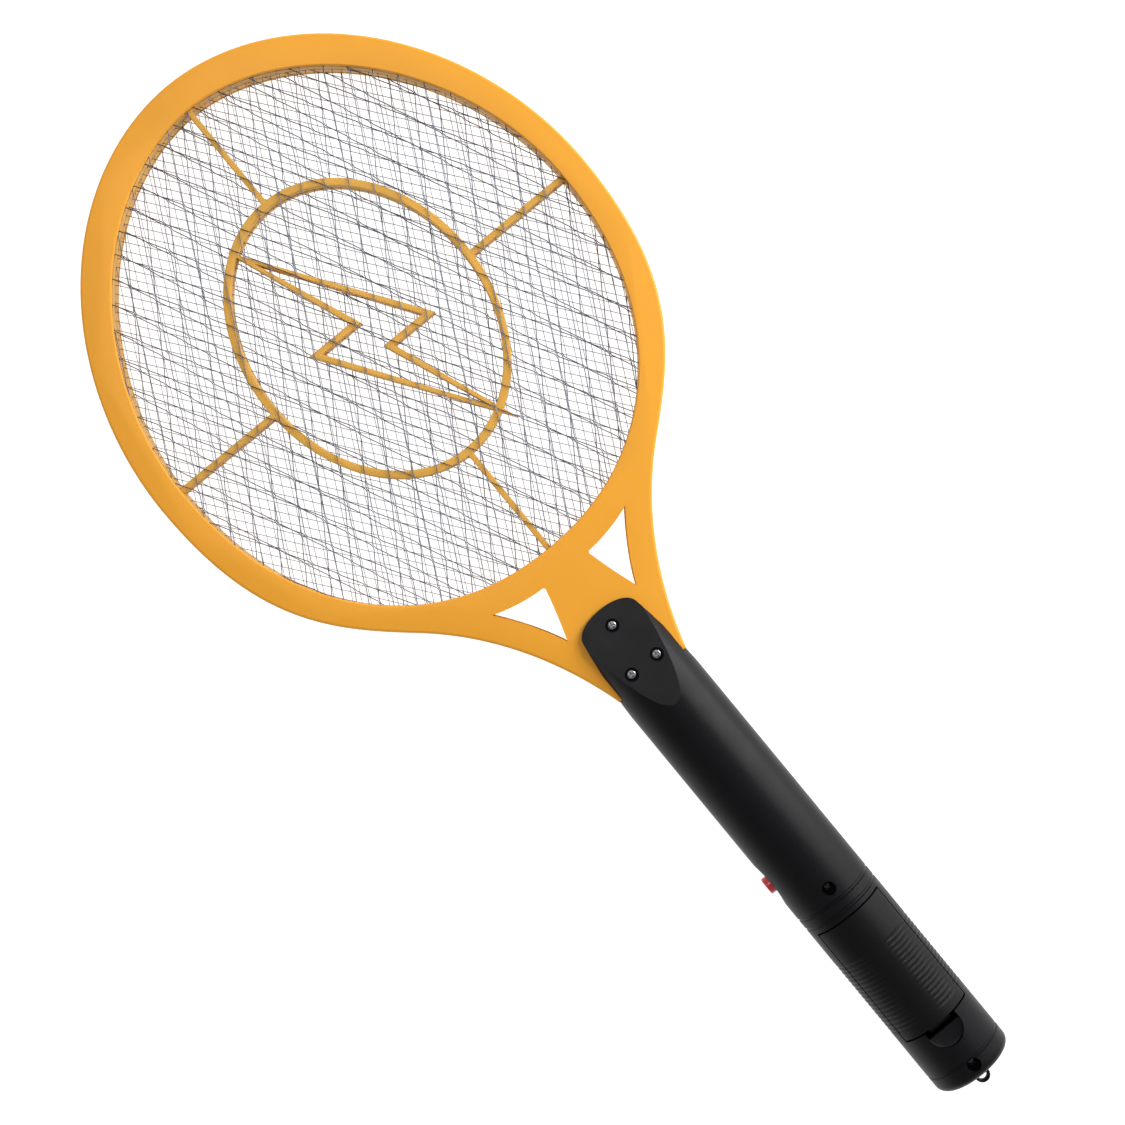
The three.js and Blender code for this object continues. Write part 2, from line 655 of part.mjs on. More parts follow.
function frontShell() {
  const inWall = gripBody(handleWall / 2, false);
  const bosses = gripScrews.map(([x, y]) => post(x, y, bossRadius, -FAR, bossParting[1]).intersect(inWall));
  const bulkheads = [bayTop, bayBottom - bulkheadThickness].map(bulkhead);
  const standoffs = [boardStart + standoffInset, boardEnd - standoffInset].flatMap((y) =>
    SIDES.map((side) => post(side * standoffSpread, y, standoffRadius, -FAR, boardUnder).intersect(inWall)));
  const cradles = cradleShares.map((share) => cellCradle(bayBottom + share * bayLength));
  const eye = lanyardEye();
  const shell = union([flipped(shellHalf()), ...bosses, ...bulkheads, ...standoffs, ...cradles, eye]);
  const pilots = [
    ...neckScrews.map(([x, y]) => post(x, y, screwShankRadius + GAP, screwEnd([x, y]) - GAP, 0)),
    ...gripScrews.map(([x, y]) => post(x, y, screwShankRadius + GAP, screwEnd([x, y]) - GAP, handleRadius)),
  ];
  const ledHole = post(0, ledAt, ledRadius + GAP, -FAR, -handleRadius + 2 * handleWall);
  return cutAll(shell, [...pilots, ledHole, ...buttonCuts()]);
}

// Cross wall at the end of the cell bay, standing up a little into the rear half.
function bulkhead(y) {
  const end = y + bulkheadThickness;
  const lower = box([-FAR, y, -FAR], [FAR, end, -GAP / 2]).intersect(gripBody(handleWall - JOIN, false));
  const upper = box([-FAR, y, -GAP], [FAR, end, bulkheadRise]).intersect(gripBody(handleWall + GAP, false));
  return lower.add(upper);
}

// Rib under both cells, hollowed to their radius.
function cellCradle(y) {
  const end = y + bulkheadThickness;
  const rib = box([-FAR, y, -FAR], [FAR, end, cradleTop]).intersect(gripBody(handleWall - JOIN, false));
  const seats = SIDES.map((side) =>
    barY(side * cellSpread, cellHeight, cellRadius + GAP, y - PAST, end + PAST, 32));
  return cutAll(rib, seats);
}

// Lanyard eye on the butt end, a flat lug with a hole through it.
function lanyardEye() {
  const half = eyeThickness / 2;
  const lug = post(0, -eyeCentre, eyeRadius, -half, half, 24)
    .add(box([-eyeRadius, -eyeCentre, -half], [eyeRadius, handleWall, half]));
  const belowSeam = box([-FAR, -FAR, -FAR], [FAR, FAR, -GAP / 2]);
  const outOfRearHalf = belowSeam.add(box([-FAR, -FAR, -FAR], [FAR, -GAP, FAR]));
  return lug.subtract(post(0, -eyeCentre, eyeHole, -half - PAST, half + PAST, 20)).intersect(outOfRearHalf);
}

// Lowest point of a screw: halfway through the front half of the neck, or in a boss of the grip.
function screwEnd([, y]) {
  return y > facetStart ? -faceHeight - GAP - (facetHeight(y) - faceHeight) / 2 : -gripScrewReach;
}

function screw(place, depth) {
  const [x, y] = place;
  const top = screwTop(place, depth);
  const head = post(x, y, screwHeadRadius, top - screwHeadHeight, top, 16);
  const shank = post(x, y, screwShankRadius, screwEnd(place), top - screwHeadHeight + JOIN, 10);
  const [long, short] = [crossSlot[0] / 2, crossSlot[1] / 2];
  const slots = [[long, short], [short, long]].map(([a, b]) =>
    box([x - a, y - b, top - crossSlot[2]], [x + a, y + b, top + PAST]));
  return cutAll(head.add(shank), slots);
}

// ---- battery door ------------------------------------------------------------------------------
function batteryDoor() {
  const low = doorBottom;
  const high = doorTop - doorSideGap;
  const tube = turned([[handleRadius, low], [handleRadius, high], [handleRadius - handleWall, high],
    [handleRadius - handleWall, low], [handleRadius, low]]);
  const cover = tube.intersect(box([-doorHalfWidth, low - PAST, 0], [doorHalfWidth, high + PAST, FAR]));
  const inner = handleRadius - handleWall;
  const hookUnder = inner - hookDrop;
  const hookStart = high - hookRoot;
  const hooks = SIDES.map((side) => {
    const [x0, x1] = [side * hookSpread - hookHalfWidth, side * hookSpread + hookHalfWidth];
    const root = box([x0, hookStart, hookUnder], [x1, hookStart + tabRoot, inner + 0.4]);
    return root.add(box([x0, hookStart, hookUnder], [x1, high + hookReach, hookUnder + hookThickness]));
  });
  const latchUnder = inner - latchDrop;
  const [left, right] = [-latchHalfWidth, latchHalfWidth];
  const tab = box([left, low - latchLength, latchUnder],
    [right, low + latchRoot, latchUnder + latchThickness]);
  const web = box([left, low + JOIN, latchUnder], [right, low + latchRoot, handleRadius - handleWall / 2]);
  return union([cover, ...hooks, tab, web]);
}

// ---- push button -------------------------------------------------------------------------------
// Dish and bore for the button in the handle's side at -X.
function buttonCuts() {
  const dish = new THREE.SphereGeometry(dishRadius, 56, 28);
  const centre = -handleRadius - dishRadius + dishDepth;
  const bore = barX(buttonAt, 0, buttonRadius + buttonClearance, -FAR, 0, 24);
  const room = barX(buttonAt, 0, flangeRadius + JOIN, flangeOuter - GAP, -2 * handleWall, 24);
  return [solidOf(dish.translate(centre, buttonAt, 0)), bore, room];
}

function pushButton() {
  const length = buttonReach + flangeOuter + JOIN;
  const profile = [[0, 0], [buttonRadius - 0.7, 0], [buttonRadius - 0.2, 0.2], [buttonRadius, 0.7],
    [buttonRadius, length], [0, length]];
  const points = profile.map(([radius, height]) => new THREE.Vector2(radius, height));
  const cap = new THREE.LatheGeometry(points, 24);
  cap.rotateZ(-Math.PI / 2).translate(-buttonReach, buttonAt, 0);
  return solidOf(cap).add(barX(buttonAt, 0, flangeRadius, flangeOuter, flangeInner, 24));
}

function switchPlunger() {
  return barX(buttonAt, 0, plungerRadius, plungerTip, plungerTip + plungerLength + buttonTravel, 16);
}

function switchBody() {
  const start = plungerTip + plungerLength;
  const half = switchWidth / 2;
  const body = box([start, buttonAt - half, -half], [start + switchDepth, buttonAt + half, half]);
  const well = start + 2 * buttonTravel + GAP;
  return body.subtract(barX(buttonAt, 0, plungerRadius + GAP, start - PAST, well, 16));
}

// ---- cells and contacts ------------------------------------------------------------------------
// One cell; facing is +1 when its positive end points to the head.
function cell(x, facing) {
  const tip = facing > 0 ? bayTop - positiveGap : bayBottom + positiveGap;
  const [low, high] = [cellNubLength, cellNubLength + cellLength];
  const profile = [[0, 0], [cellNubRadius, 0], [cellNubRadius, low], [cellRadius - cellBevel, low],
    [cellRadius, low + cellBevel], [cellRadius, high - cellBevel], [cellRadius - cellBevel, high], [0, high]];
  const points = profile.map(([radius, height]) => new THREE.Vector2(radius, height));
  const geometry = new THREE.LatheGeometry(points, 32);
  if (facing > 0) geometry.rotateX(Math.PI);
  return solidOf(geometry.translate(x, tip, cellHeight));
}

function contactPlate(x0, x1, atTop) {
  const y0 = atTop ? bayTop - GAP - contactThickness : bayBottom + GAP;
  const [low, high] = [cellHeight - contactHalfHeight, cellHeight + contactHalfHeight];
  return box([x0, y0, low], [x1, y0 + contactThickness, high]);
}

// Coil between a contact plate and a cell's flat end.
function contactSpring(x, atTop) {
  const steps = springSteps * springTurns;
  const [wide, narrow] = springRadii;
  const points = [];
  for (let i = 0; i <= steps; i += 1) {
    const share = i / steps;
    const angle = 2 * Math.PI * springTurns * share;
    const radius = wide + (narrow - wide) * share;
    const along = contactThickness + 2 * GAP + springWire / 2 + (springLength - springWire) * share;
    const y = atTop ? bayTop - along : bayBottom + along;
    points.push([x + radius * Math.cos(angle), y, cellHeight + radius * Math.sin(angle)]);
  }
  return wire(points, springWire / 2, steps);
}

// ---- electronics -------------------------------------------------------------------------------
function circuitBoard() {
  const half = boardWidth / 2;
  return box([-half, boardStart, boardTop - boardThickness], [half, boardEnd, boardTop]);
}

// Box in the middle of the board from place to place + length, standing low over its top face.
function onBoard(width, place, length, low, high) {
  const start = boardStart + place;
  return box([-width / 2, start, deck + low], [width / 2, start + length, deck + high]);
}

function indicatorLed() {
  const base = boardUnder - 4;
  const body = post(0, ledAt, ledRadius, -handleRadius + ledSink, base, 16);
  const tip = new THREE.SphereGeometry(ledRadius, 12, 8);
  const dome = solidOf(tip.translate(0, ledAt, -handleRadius + ledSink + ledRadius / 2));
  const half = ledLeg / 2;
  const legs = SIDES.map((side) => side * ledRadius / 2).map((x) =>
    box([x - half, ledAt - half, base - PAST], [x + half, ledAt + half, boardUnder]));
  return union([body, dome, ...legs]);
}

function transformerCore() {
  const [width, length, height] = transformerSize;
  const outer = onBoard(width, transformerPlace, length, 0, height);
  const window = onBoard(width - 2 * coreWall, transformerPlace - PAST, length + 2 * PAST,
    coreWall, height - coreWall);
  return outer.subtract(window);
}

function transformerCoil() {
  const [width, length, height] = transformerSize;
  const edge = coreWall + GAP;
  return onBoard(width - 2 * edge, transformerPlace - coilLap, length + 2 * coilLap, edge, height - edge);
}

function filmCapacitor() {
  const [width, length, height] = filmSize;
  return onBoard(width, filmPlace, length, 0, height);
}

function discCapacitor(x) {
  const start = boardStart + discPlace;
  return barY(x, deck + discRadius + GAP, discRadius, start, start + discThickness, 24);
}

function diode(x) {
  const start = boardStart + diodePlace;
  return barY(x, deck + diodeRadius, diodeRadius, start, start + diodeLength, 14);
}

function transistor() {
  const start = boardStart + transistorPlace;
  const round = barY(transistorColumn, deck + transistorRadius, transistorRadius, start,
    start + transistorLength, 20);
  const flat = box([0, start - PAST, deck],
    [FAR, start + transistorLength + PAST, deck + 1.6 * transistorRadius]);
  return round.intersect(flat);
}

function resistor(place) {
  return barX(boardStart + place, deck + resistorRadius, resistorRadius, ...resistorEnds, 14);
}

// Leads: two from the cell bay to the board and three from the grids down the neck to the board.
function batteryLead(side) {
  const height = cellHeight + contactHalfHeight + GAP + batteryLeadRadius;
  return wire([[side * 10.5, bayTop - contactThickness, height], [side * 10.3, bayTop + 3, height],
    [side * 9, boardStart - 7.5, 4], [side * 8, boardStart - 1.5, 1.5], [side * 8, boardStart + 2, -1.5],
    [side * 8, boardStart + 2.7, deck]], batteryLeadRadius, 12);
}

// The lead swings out round the first neck screw, runs in between the other two and ends on the board.
function gridLead(side, height, layer, padPlace) {
  const end = holeBottom - gridOverlap - GAP;
  const [wide, narrow] = [side * 4.4, side * 1.6];
  const [firstScrew, nextScrew] = [neckScrews[0][1], neckScrews[1][1]];
  const inHead = [[wide, end, layer], [wide, end - 6, (height + layer) / 2], [wide, end - 16, height]];
  const inNeck = [[wide, firstScrew, height], [narrow, nextScrew + 6, height], [narrow, shankEnd, height]];
  const toBoard = [[padPlace, boardEnd + 4, 1], [padPlace, boardEnd - 3, -0.5],
    [padPlace, boardEnd - 5, deck]];
  return wire([...inHead, ...inNeck, ...toBoard], gridLeadRadius, 20);
}

// ---- assembly ----------------------------------------------------------------------------------
const handle = new THREE.Group();
const head = new THREE.Group();
const electronics = new THREE.Group();

function add(group, name, look, solid) {
  const mesh = new THREE.Mesh(geometryOf(solid), new THREE.MeshStandardMaterial(LOOKS[look]));
  mesh.name = name;
  group.add(mesh);
}

const frameShell = frameHalf();
add(head, 'frame_rear_half', 'orange', frameShell);
add(head, 'frame_front_half', 'orange', flipped(frameShell));
add(head, 'spacer_rear', 'orange', spacer(spacerBottom, spacerTop));
add(head, 'spacer_front', 'orange', spacer(-spacerTop, -spacerBottom));
add(head, 'rear_grid', 'steel', grid(coarseCell, coarseWire, (coarseTop + coarseBottom) / 2));
add(head, 'center_grid', 'steel', grid(fineCell, fineWire, 0));
add(head, 'front_grid', 'steel', grid(coarseCell, coarseWire, -(coarseTop + coarseBottom) / 2));

add(handle, 'handle_rear_shell', 'black', rearShell());
add(handle, 'handle_front_shell', 'black', frontShell());
add(handle, 'battery_door', 'black', batteryDoor());
add(handle, 'push_button', 'red', pushButton());
neckScrews.forEach((place, i) => add(handle, `neck_screw_${i + 1}`, 'steel', screw(place, neckScrewDepth)));
add(handle, 'grip_screw', 'steel', screw(gripScrews[0], gripScrewDepth));
add(handle, 'butt_screw', 'steel', screw(gripScrews[1], gripScrewDepth));

add(electronics, 'switch_body', 'ferrite', switchBody());
add(electronics, 'switch_plunger', 'black', switchPlunger());
add(electronics, 'circuit_board', 'board', circuitBoard());
add(electronics, 'indicator_led', 'lens', indicatorLed());
add(electronics, 'transformer_core', 'ferrite', transformerCore());
add(electronics, 'transformer_coil', 'copper', transformerCoil());
add(electronics, 'film_capacitor', 'maroon', filmCapacitor());
SIDES.forEach((side, i) =>
  add(electronics, `disc_capacitor_${i + 1}`, 'beige', discCapacitor(side * discSpread)));
diodeColumns.forEach((x, i) => add(electronics, `rectifier_diode_${i + 1}`, 'black', diode(x)));
add(electronics, 'transistor', 'black', transistor());
resistorPlaces.forEach((place, i) => add(electronics, `resistor_${i + 1}`, 'beige', resistor(place)));

add(electronics, 'cell_left', 'green', cell(-cellSpread, 1));
add(electronics, 'cell_right', 'green', cell(cellSpread, -1));
add(electronics, 'contact_positive', 'steel', contactPlate(-contactReach, -contactEdge, true));
add(electronics, 'contact_negative', 'steel', contactPlate(contactEdge, contactReach, true));
add(electronics, 'contact_bridge', 'steel', contactPlate(-contactReach, contactReach, false));
add(electronics, 'spring_negative', 'steel', contactSpring(cellSpread, true));
add(electronics, 'spring_bridge', 'steel', contactSpring(-cellSpread, false));
add(electronics, 'battery_lead_red', 'redWire', batteryLead(-1));
add(electronics, 'battery_lead_black', 'blackWire', batteryLead(1));
const coarseLayer = (coarseTop + coarseBottom) / 2;
add(electronics, 'grid_lead_rear', 'blackWire', gridLead(-1, leadSpread, coarseLayer, leadRows[0]));
add(electronics, 'grid_lead_front', 'blackWire', gridLead(-1, -leadSpread, -coarseLayer, leadRows[1]));
add(electronics, 'grid_lead_center', 'redWire', gridLead(1, 0, 0, leadRows[2]));

const swatter = new THREE.Group();
swatter.name = 'electric_fly_swatter';
swatter.add(handle, head, electronics);
const floorCentre = (headTop - eyeCentre - eyeRadius) / 2;
swatter.position.set(0, -floorCentre, handleRadius);

export default swatter;
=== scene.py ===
"""Looks of the electric fly swatter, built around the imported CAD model.

Lengths named here are in millimetres, counted from the butt end of the handle (y) and from the handle's
axis (x and z), as in the CAD source.
"""

import math

import bmesh
import bpy
import numpy as np
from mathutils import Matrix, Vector


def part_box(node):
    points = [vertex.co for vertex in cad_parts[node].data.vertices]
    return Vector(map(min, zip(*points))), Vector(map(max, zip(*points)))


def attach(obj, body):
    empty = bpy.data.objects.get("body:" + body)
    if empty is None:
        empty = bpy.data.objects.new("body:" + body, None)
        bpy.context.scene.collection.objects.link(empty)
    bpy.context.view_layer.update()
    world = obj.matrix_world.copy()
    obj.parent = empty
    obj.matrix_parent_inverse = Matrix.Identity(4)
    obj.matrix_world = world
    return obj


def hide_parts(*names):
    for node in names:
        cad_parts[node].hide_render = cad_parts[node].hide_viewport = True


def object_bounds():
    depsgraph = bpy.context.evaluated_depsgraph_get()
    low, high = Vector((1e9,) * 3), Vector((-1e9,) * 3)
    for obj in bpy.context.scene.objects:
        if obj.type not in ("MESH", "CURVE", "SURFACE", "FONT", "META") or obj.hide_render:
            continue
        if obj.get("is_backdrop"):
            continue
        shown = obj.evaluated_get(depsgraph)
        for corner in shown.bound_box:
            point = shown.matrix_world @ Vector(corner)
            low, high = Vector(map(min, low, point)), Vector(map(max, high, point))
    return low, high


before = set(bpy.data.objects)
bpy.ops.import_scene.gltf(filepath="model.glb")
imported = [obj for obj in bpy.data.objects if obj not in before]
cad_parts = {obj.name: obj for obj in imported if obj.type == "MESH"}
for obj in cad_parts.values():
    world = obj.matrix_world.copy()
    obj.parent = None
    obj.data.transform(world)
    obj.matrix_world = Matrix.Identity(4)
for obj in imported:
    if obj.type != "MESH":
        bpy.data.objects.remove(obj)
CAD_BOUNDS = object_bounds()

# ---- places read from the frame ----
MM = 0.001
REAR_LOW, REAR_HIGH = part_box("handle_rear_shell")
HEAD_LOW, HEAD_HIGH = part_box("frame_rear_half")
DOOR_LOW, DOOR_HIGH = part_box("battery_door")
BUTTON_LOW, BUTTON_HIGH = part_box("push_button")
RADIUS = (REAR_HIGH.x - REAR_LOW.x) / 2 / MM
BUTT_Y = REAR_LOW.y
CENTER_GRID_HALF = 0.25
AXIS_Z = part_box("center_grid")[0].z + CENTER_GRID_HALF * MM
TAB_REACH = 2.6


def along(y):
    """Distance from the butt end, in millimetres, of a y in the row frame."""
    return (y - BUTT_Y) / MM


def above(z):
    """Height over the handle's axis, in millimetres, of a z in the row frame."""
    return (z - AXIS_Z) / MM


HEAD_TOP = along(HEAD_HIGH.y)
HEAD_HALF_WIDTH = HEAD_HIGH.x / MM
FACE = above(HEAD_HIGH.z)
SHANK_END = along(HEAD_LOW.y)
TONGUE_END = along(REAR_HIGH.y)
HANDLE_END = SHANK_END + 11.6
DOOR_BOTTOM = along(DOOR_LOW.y) + TAB_REACH
DOOR_TOP = along(DOOR_HIGH.y) - 2.25
DOOR_HALF_WIDTH = DOOR_HIGH.x / MM
BUTTON_AT = along((BUTTON_LOW.y + BUTTON_HIGH.y) / 2)
BUTTON_REACH = -BUTTON_LOW.x / MM

# ---- sizes of the details ----
GAP = 0.3
SEAM = 0.15
HANDLE_WALL = 2.0
HEAD_WALL = 2.2
LIP = 1.5
EDGE = 1.2
SMALL_EDGE = 0.35
END_RADIUS = 3.6
AROUND = 192
TINY = 0.0005
FAR = 40  # past every side of the handle
POST_WALL = 1.8
BOSS_RADIUS = 3.0
HEAD_BORE = 1.6
HOLE_EDGE = 0.6
LEAD_ROOM = 2.9
GRID_LEDGE = 1.4
SHANK_HALF_WIDTH = math.sqrt((RADIUS - HANDLE_WALL) ** 2 - FACE ** 2) - 1

TONGUE_EDGE_HEIGHT = FACE + 1.4
TONGUE_HALF_WIDTH = RADIUS - 3.95
TONGUE_SHOULDER = TONGUE_END - 4.6
FACET_START = TONGUE_END - 46.6
FACET_SLOPE = (RADIUS - TONGUE_EDGE_HEIGHT) / (TONGUE_END - FACET_START)

WIDEST_AT = HEAD_TOP - 127.7
HEAD_EXPONENT = 1.95
WAIST = (60.8, HANDLE_END + 71.8)
WAIST_SLOPE = 1.15
CHEEK_REACHES = (22.5, 58)
WING_REACHES = (27.6, 18.9)
WING_FLARE = 7.5
HOLE_TOP = HEAD_TOP - 12.7
HOLE_BOTTOM = HANDLE_END + 65.0
HOLE_HALF_WIDTH = HEAD_HALF_WIDTH - 10.7
HOLE_WIDEST_AT = WIDEST_AT + 0.6
HOLE_EXPONENTS = (1.9, 2.15)
WINDOW_CORNERS = ((35.4, 59.8), (10.2, 54.7), (17.5, 30.3))
WINDOW_BULGES = ((22.5, 55.0), (12.9, 42.9), (23.2, 44.0))
WINDOW_TRIM = 0.05
WINDOW_STEPS = 15
OUTLINE_STEPS = 40

SPACER_LOW = above(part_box("spacer_rear")[0].z)
SPACER_HIGH = above(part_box("spacer_rear")[1].z)
SPACER_RIM = 2.4
SPOKE = 2.4
RING_CENTRE = HOLE_WIDEST_AT + 3.7
RING_HALF = (51.1, 64.4)
RING_BAND = 3.2
BOLT_CENTRE = HOLE_WIDEST_AT + 0.6
BOLT_TIP = (20.9, 56.2)
BOLT_SHOULDER = (22.5, 7.6)
BOLT_NOTCH = 2.3
BOLT_STROKE = 2.5

COARSE_MIDDLE = (above(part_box("rear_grid")[0].z) + above(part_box("rear_grid")[1].z)) / 2
COARSE_CELL = (10.55, 20.0)
COARSE_WIRE = 0.42
COARSE_TURNS = {"rear": 0.8, "front": -5.0}
COARSE_PHASES = {"rear": (0.0, 0.35), "front": (0.45, 0.1)}
COARSE_STEPS = 20
COARSE_WAVE = 0.1
SPARE_CELLS = 4
KNUCKLE = 1.5
FINE_PITCH = 3.47
FINE_ANGLES = (37.3, -26.8)
FINE_WIRE = 0.28
FINE_STEPS = 2
FINE_WAVE = 0.13
GRID_OVERLAP = 2.6
WIRE_SIDES = 4
RING_TURN = 0.4

GROOVES = (8.4, DOOR_TOP + 2.9, DOOR_TOP + 7.6)
GROOVE_WIDTH = 1.6
GROOVE_DEPTH = 0.5
RIB_FIRST = 31.9
RIB_PITCH = 2.04
RIB_COUNT = 17
RIB_WIDTH = 0.75
RIB_DEPTH = 0.34
THUMB_RADIUS = 7.6
THUMB_AT = DOOR_BOTTOM - 3.4
THUMB_DEPTH = 2.4
SLOT_END = DOOR_BOTTOM - 3.8
DOOR_GAPS = (0.35, 0.75)
DISH_RADIUS = 36.4
DISH_DEPTH = 1.4
COUNTERBORE = 2.8
SCREW_HEAD = 2.05
SCREW_CROWN = 1.0
NECK_SCREWS = ((0, HANDLE_END + 25.7), (-6.3, HANDLE_END + 6.2), (6.3, HANDLE_END + 6.2))
GRIP_SCREWS = ((0, DOOR_TOP + 13.2), (0, 5.9))
EYE_AT = 4.6
EYE_RADIUS = 3.2
EYE_HOLE = 1.8
EYE_HALF_THICKNESS = 1.5
SCREW_BORE = 1.55
NECK_SCREW_DEPTH = 0.5
GRIP_SCREW_DEPTH = 4.4
INNER_WALL = 1.6
INNER_FIT = 1.4
POST_RADIUS = 1.8
CRADLE_RADIUS = 7.4
CELL_APART = 7.5
FLANGE_ROOM = (-14.85, -4)
FLANGE_ROOM_RADIUS = 5.6
BUTTON_FLANGE = 1.4
BUTTON_RADIUS = (BUTTON_HIGH.z - BUTTON_LOW.z) / 2 / MM - BUTTON_FLANGE
BUTTON_FLANGE_THICKNESS = 1.2
HOOK_AT = 5
HOOK_DROP = 4.2
LATCH_HALF_WIDTH = 5
LATCH_DROP = 2.6
LATCH_THICKNESS = 1.4
CELL_LENGTH = 50.5

# ---- stage: places in metres, lens and sensor in millimetres ----
FLOOR_REACH = 6.0
FLOOR_DROP = 0.0005
FLOOR_GREYS = (0.33, 0.35)
FLOOR_GLOW = 0.95
BRIGHTEST_SKY = Vector((0.4, 0.1, -0.9))
SKY_STRENGTHS = (0.25, 1.1)
CAMERA_PLACE = (0.00067, 0.0109, 0.7708)
CAMERA_TURN = math.radians(-39.5)
CAMERA_LENS = 60.8
SENSOR_WIDTH = 36


# ---- mesh tools ----
def placed(name, data):
    """New object in the scene that shows the given data."""
    obj = bpy.data.objects.new(name, data)
    bpy.context.scene.collection.objects.link(obj)
    return obj


def mesh_object(name, points, faces):
    """Object from points in millimetres in the butt-end frame."""
    mesh = bpy.data.meshes.new(name)
    shift = Vector((0, BUTT_Y, AXIS_Z))
    mesh.from_pydata([Vector(p) * MM + shift for p in points], [], faces)
    mesh.validate()
    obj = placed(name, mesh)
    face_outwards(obj)
    return obj


def face_outwards(obj):
    work = bmesh.new()
    work.from_mesh(obj.data)
    bmesh.ops.recalc_face_normals(work, faces=work.faces)
    work.to_mesh(obj.data)
    work.free()


def grid_faces(rows, columns):
    """Quads between rows of points, each row closed on itself."""
    faces = []
    for row in range(rows - 1):
        for column in range(columns):
            after = (column + 1) % columns
            faces.append((row * columns + column, row * columns + after,
                          (row + 1) * columns + after, (row + 1) * columns + column))
    return faces


def loft(name, rings):
    """Closed body through rings of equally many points, with its two ends capped."""
    columns = len(rings[0])
    points = [p for ring in rings for p in ring]
    faces = grid_faces(len(rings), columns)
    faces.append(tuple(range(columns)))
    faces.append(tuple(range(len(points) - columns, len(points))))
    return mesh_object(name, points, faces)


def slab(name, outline, levels):
    """Body over an outline function of an offset; levels lists (offset, z)."""
    return loft(name, [[(x, y, z) for x, y in outline(offset)] for offset, z in levels])


def turned(name, profile, centre=(0, 0, 0), axis="y", around=48):
    """Body turned about an axis through centre; profile lists (radius, place) with both ends on the axis."""
    rings = []
    for radius, place in profile:
        ring = []
        for u, v in ellipse_outline(0, max(radius, TINY), max(radius, TINY), around):
            local = {"x": (place, u, v), "y": (v, place, u), "z": (u, v, place)}[axis]
            ring.append(tuple(c + d for c, d in zip(centre, local)))
        rings.append(ring)
    return loft(name, rings)


def rod(radius, low, high):
    """Profile of a plain round bar."""
    return [(0, low), (radius, low), (radius, high), (0, high)]


def upright(radius, x, y, low, high):
    return turned("upright", rod(radius, low, high), (x, y, 0), "z")


def block(name, low, high):
    x0, y0, z0 = low
    x1, y1, z1 = high
    ring = [(x0, y0), (x1, y0), (x1, y1), (x0, y1)]
    return loft(name, [[(x, y, z) for x, y in ring] for z in (z0, z1)])


def combine(obj, tools, operation):
    """Joins tools to obj or cuts them from it, and removes them."""
    for tool in tools:
        modifier = obj.modifiers.new("combine", "BOOLEAN")
        modifier.operation = operation
        modifier.solver = "MANIFOLD"
        modifier.object = tool
        settle(obj)
        bpy.data.objects.remove(tool)
    return obj


def cut(obj, *tools):
    return combine(obj, tools, "DIFFERENCE")


def keep(obj, *tools):
    return combine(obj, tools, "INTERSECT")


def join(obj, *tools):
    return combine(obj, tools, "UNION")


def settle(obj):
    """Makes the result of the object's modifiers its mesh."""
    graph = bpy.context.evaluated_depsgraph_get()
    mesh = bpy.data.meshes.new_from_object(obj.evaluated_get(graph))
    old = obj.data
    obj.modifiers.clear()
    obj.data = mesh
    mesh.name = obj.name
    bpy.data.meshes.remove(old)


def flipped(obj, name):
    """Copy of obj turned half a turn about the handle's axis."""
    copy = placed(name, obj.data.copy())
    for vertex in copy.data.vertices:
        vertex.co.x = -vertex.co.x
        vertex.co.z = 2 * AXIS_Z - vertex.co.z
    return copy


def smooth_by_angle(obj, degrees):
    mesh = obj.data
    mesh.polygons.foreach_set("use_smooth", [True] * len(mesh.polygons))
    mesh.set_sharp_from_angle(angle=math.radians(degrees))


def crease_facet(obj):
    """Makes the border of the neck pad's flat face sharp, where it meets the round grip at a low angle."""
    normal = Vector((0, FACET_SLOPE, 1)).normalized()
    work = bmesh.new()
    work.from_mesh(obj.data)
    for edge in work.edges:
        flat = [min((face.normal - normal).length, (face.normal - mirrored_down(normal)).length) < 0.01
                for face in edge.link_faces]
        if any(flat) and not all(flat):
            edge.smooth = False
    work.to_mesh(obj.data)
    work.free()


def mirrored_down(normal):
    return Vector((normal.x, normal.y, -normal.z))


def finish_piece(obj, material, body="grip", node=None, degrees=32):
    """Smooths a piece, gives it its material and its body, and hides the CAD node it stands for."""
    smooth_by_angle(obj, degrees)
    if node in ("handle_rear_shell", "handle_front_shell"):
        crease_facet(obj)
    obj.data.materials.clear()
    obj.data.materials.append(material)
    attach(obj, body)
    if node:
        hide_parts(node)
    return obj


def quarter_turn(steps, first=0):
    """Sine and cosine of the angles from 0 to a right angle."""
    for i in range(first, steps + 1):
        angle = math.pi / 2 * i / steps
        yield math.sin(angle), math.cos(angle)


def rounded(face, radius, steps=5, outwards=False):
    """Levels (offset, z) that round the edge of a face at z = face; offsets grow for a cutter."""
    sign = 1 if outwards else -1
    return [(sign * (radius * (1 - cosine)), face - radius + radius * sine)
            for sine, cosine in quarter_turn(steps)]


# ---- outlines ----
def quarter(half_width, centre, reach, exponent):
    """Quarter of a superellipse from the widest point to the tip."""
    power = 2 / exponent
    points = [(half_width * cosine ** power, centre + reach * sine ** power)
              for sine, cosine in quarter_turn(OUTLINE_STEPS)]
    return points[:-1] + [(0.0, points[-1][1])]


def closed(right_half):
    """Closed outline from its right half, listed upwards, with both ends on the axis."""
    return right_half + [(-x, y) for x, y in reversed(right_half[1:-1])]


def blend(weights, points):
    return tuple(sum(w * p[k] for w, p in zip(weights, points)) for k in (0, 1))


def bend(t, points):
    """Place at t on the quadratic curve of three points."""
    return blend(((1 - t) ** 2, 2 * t * (1 - t), t * t), points)


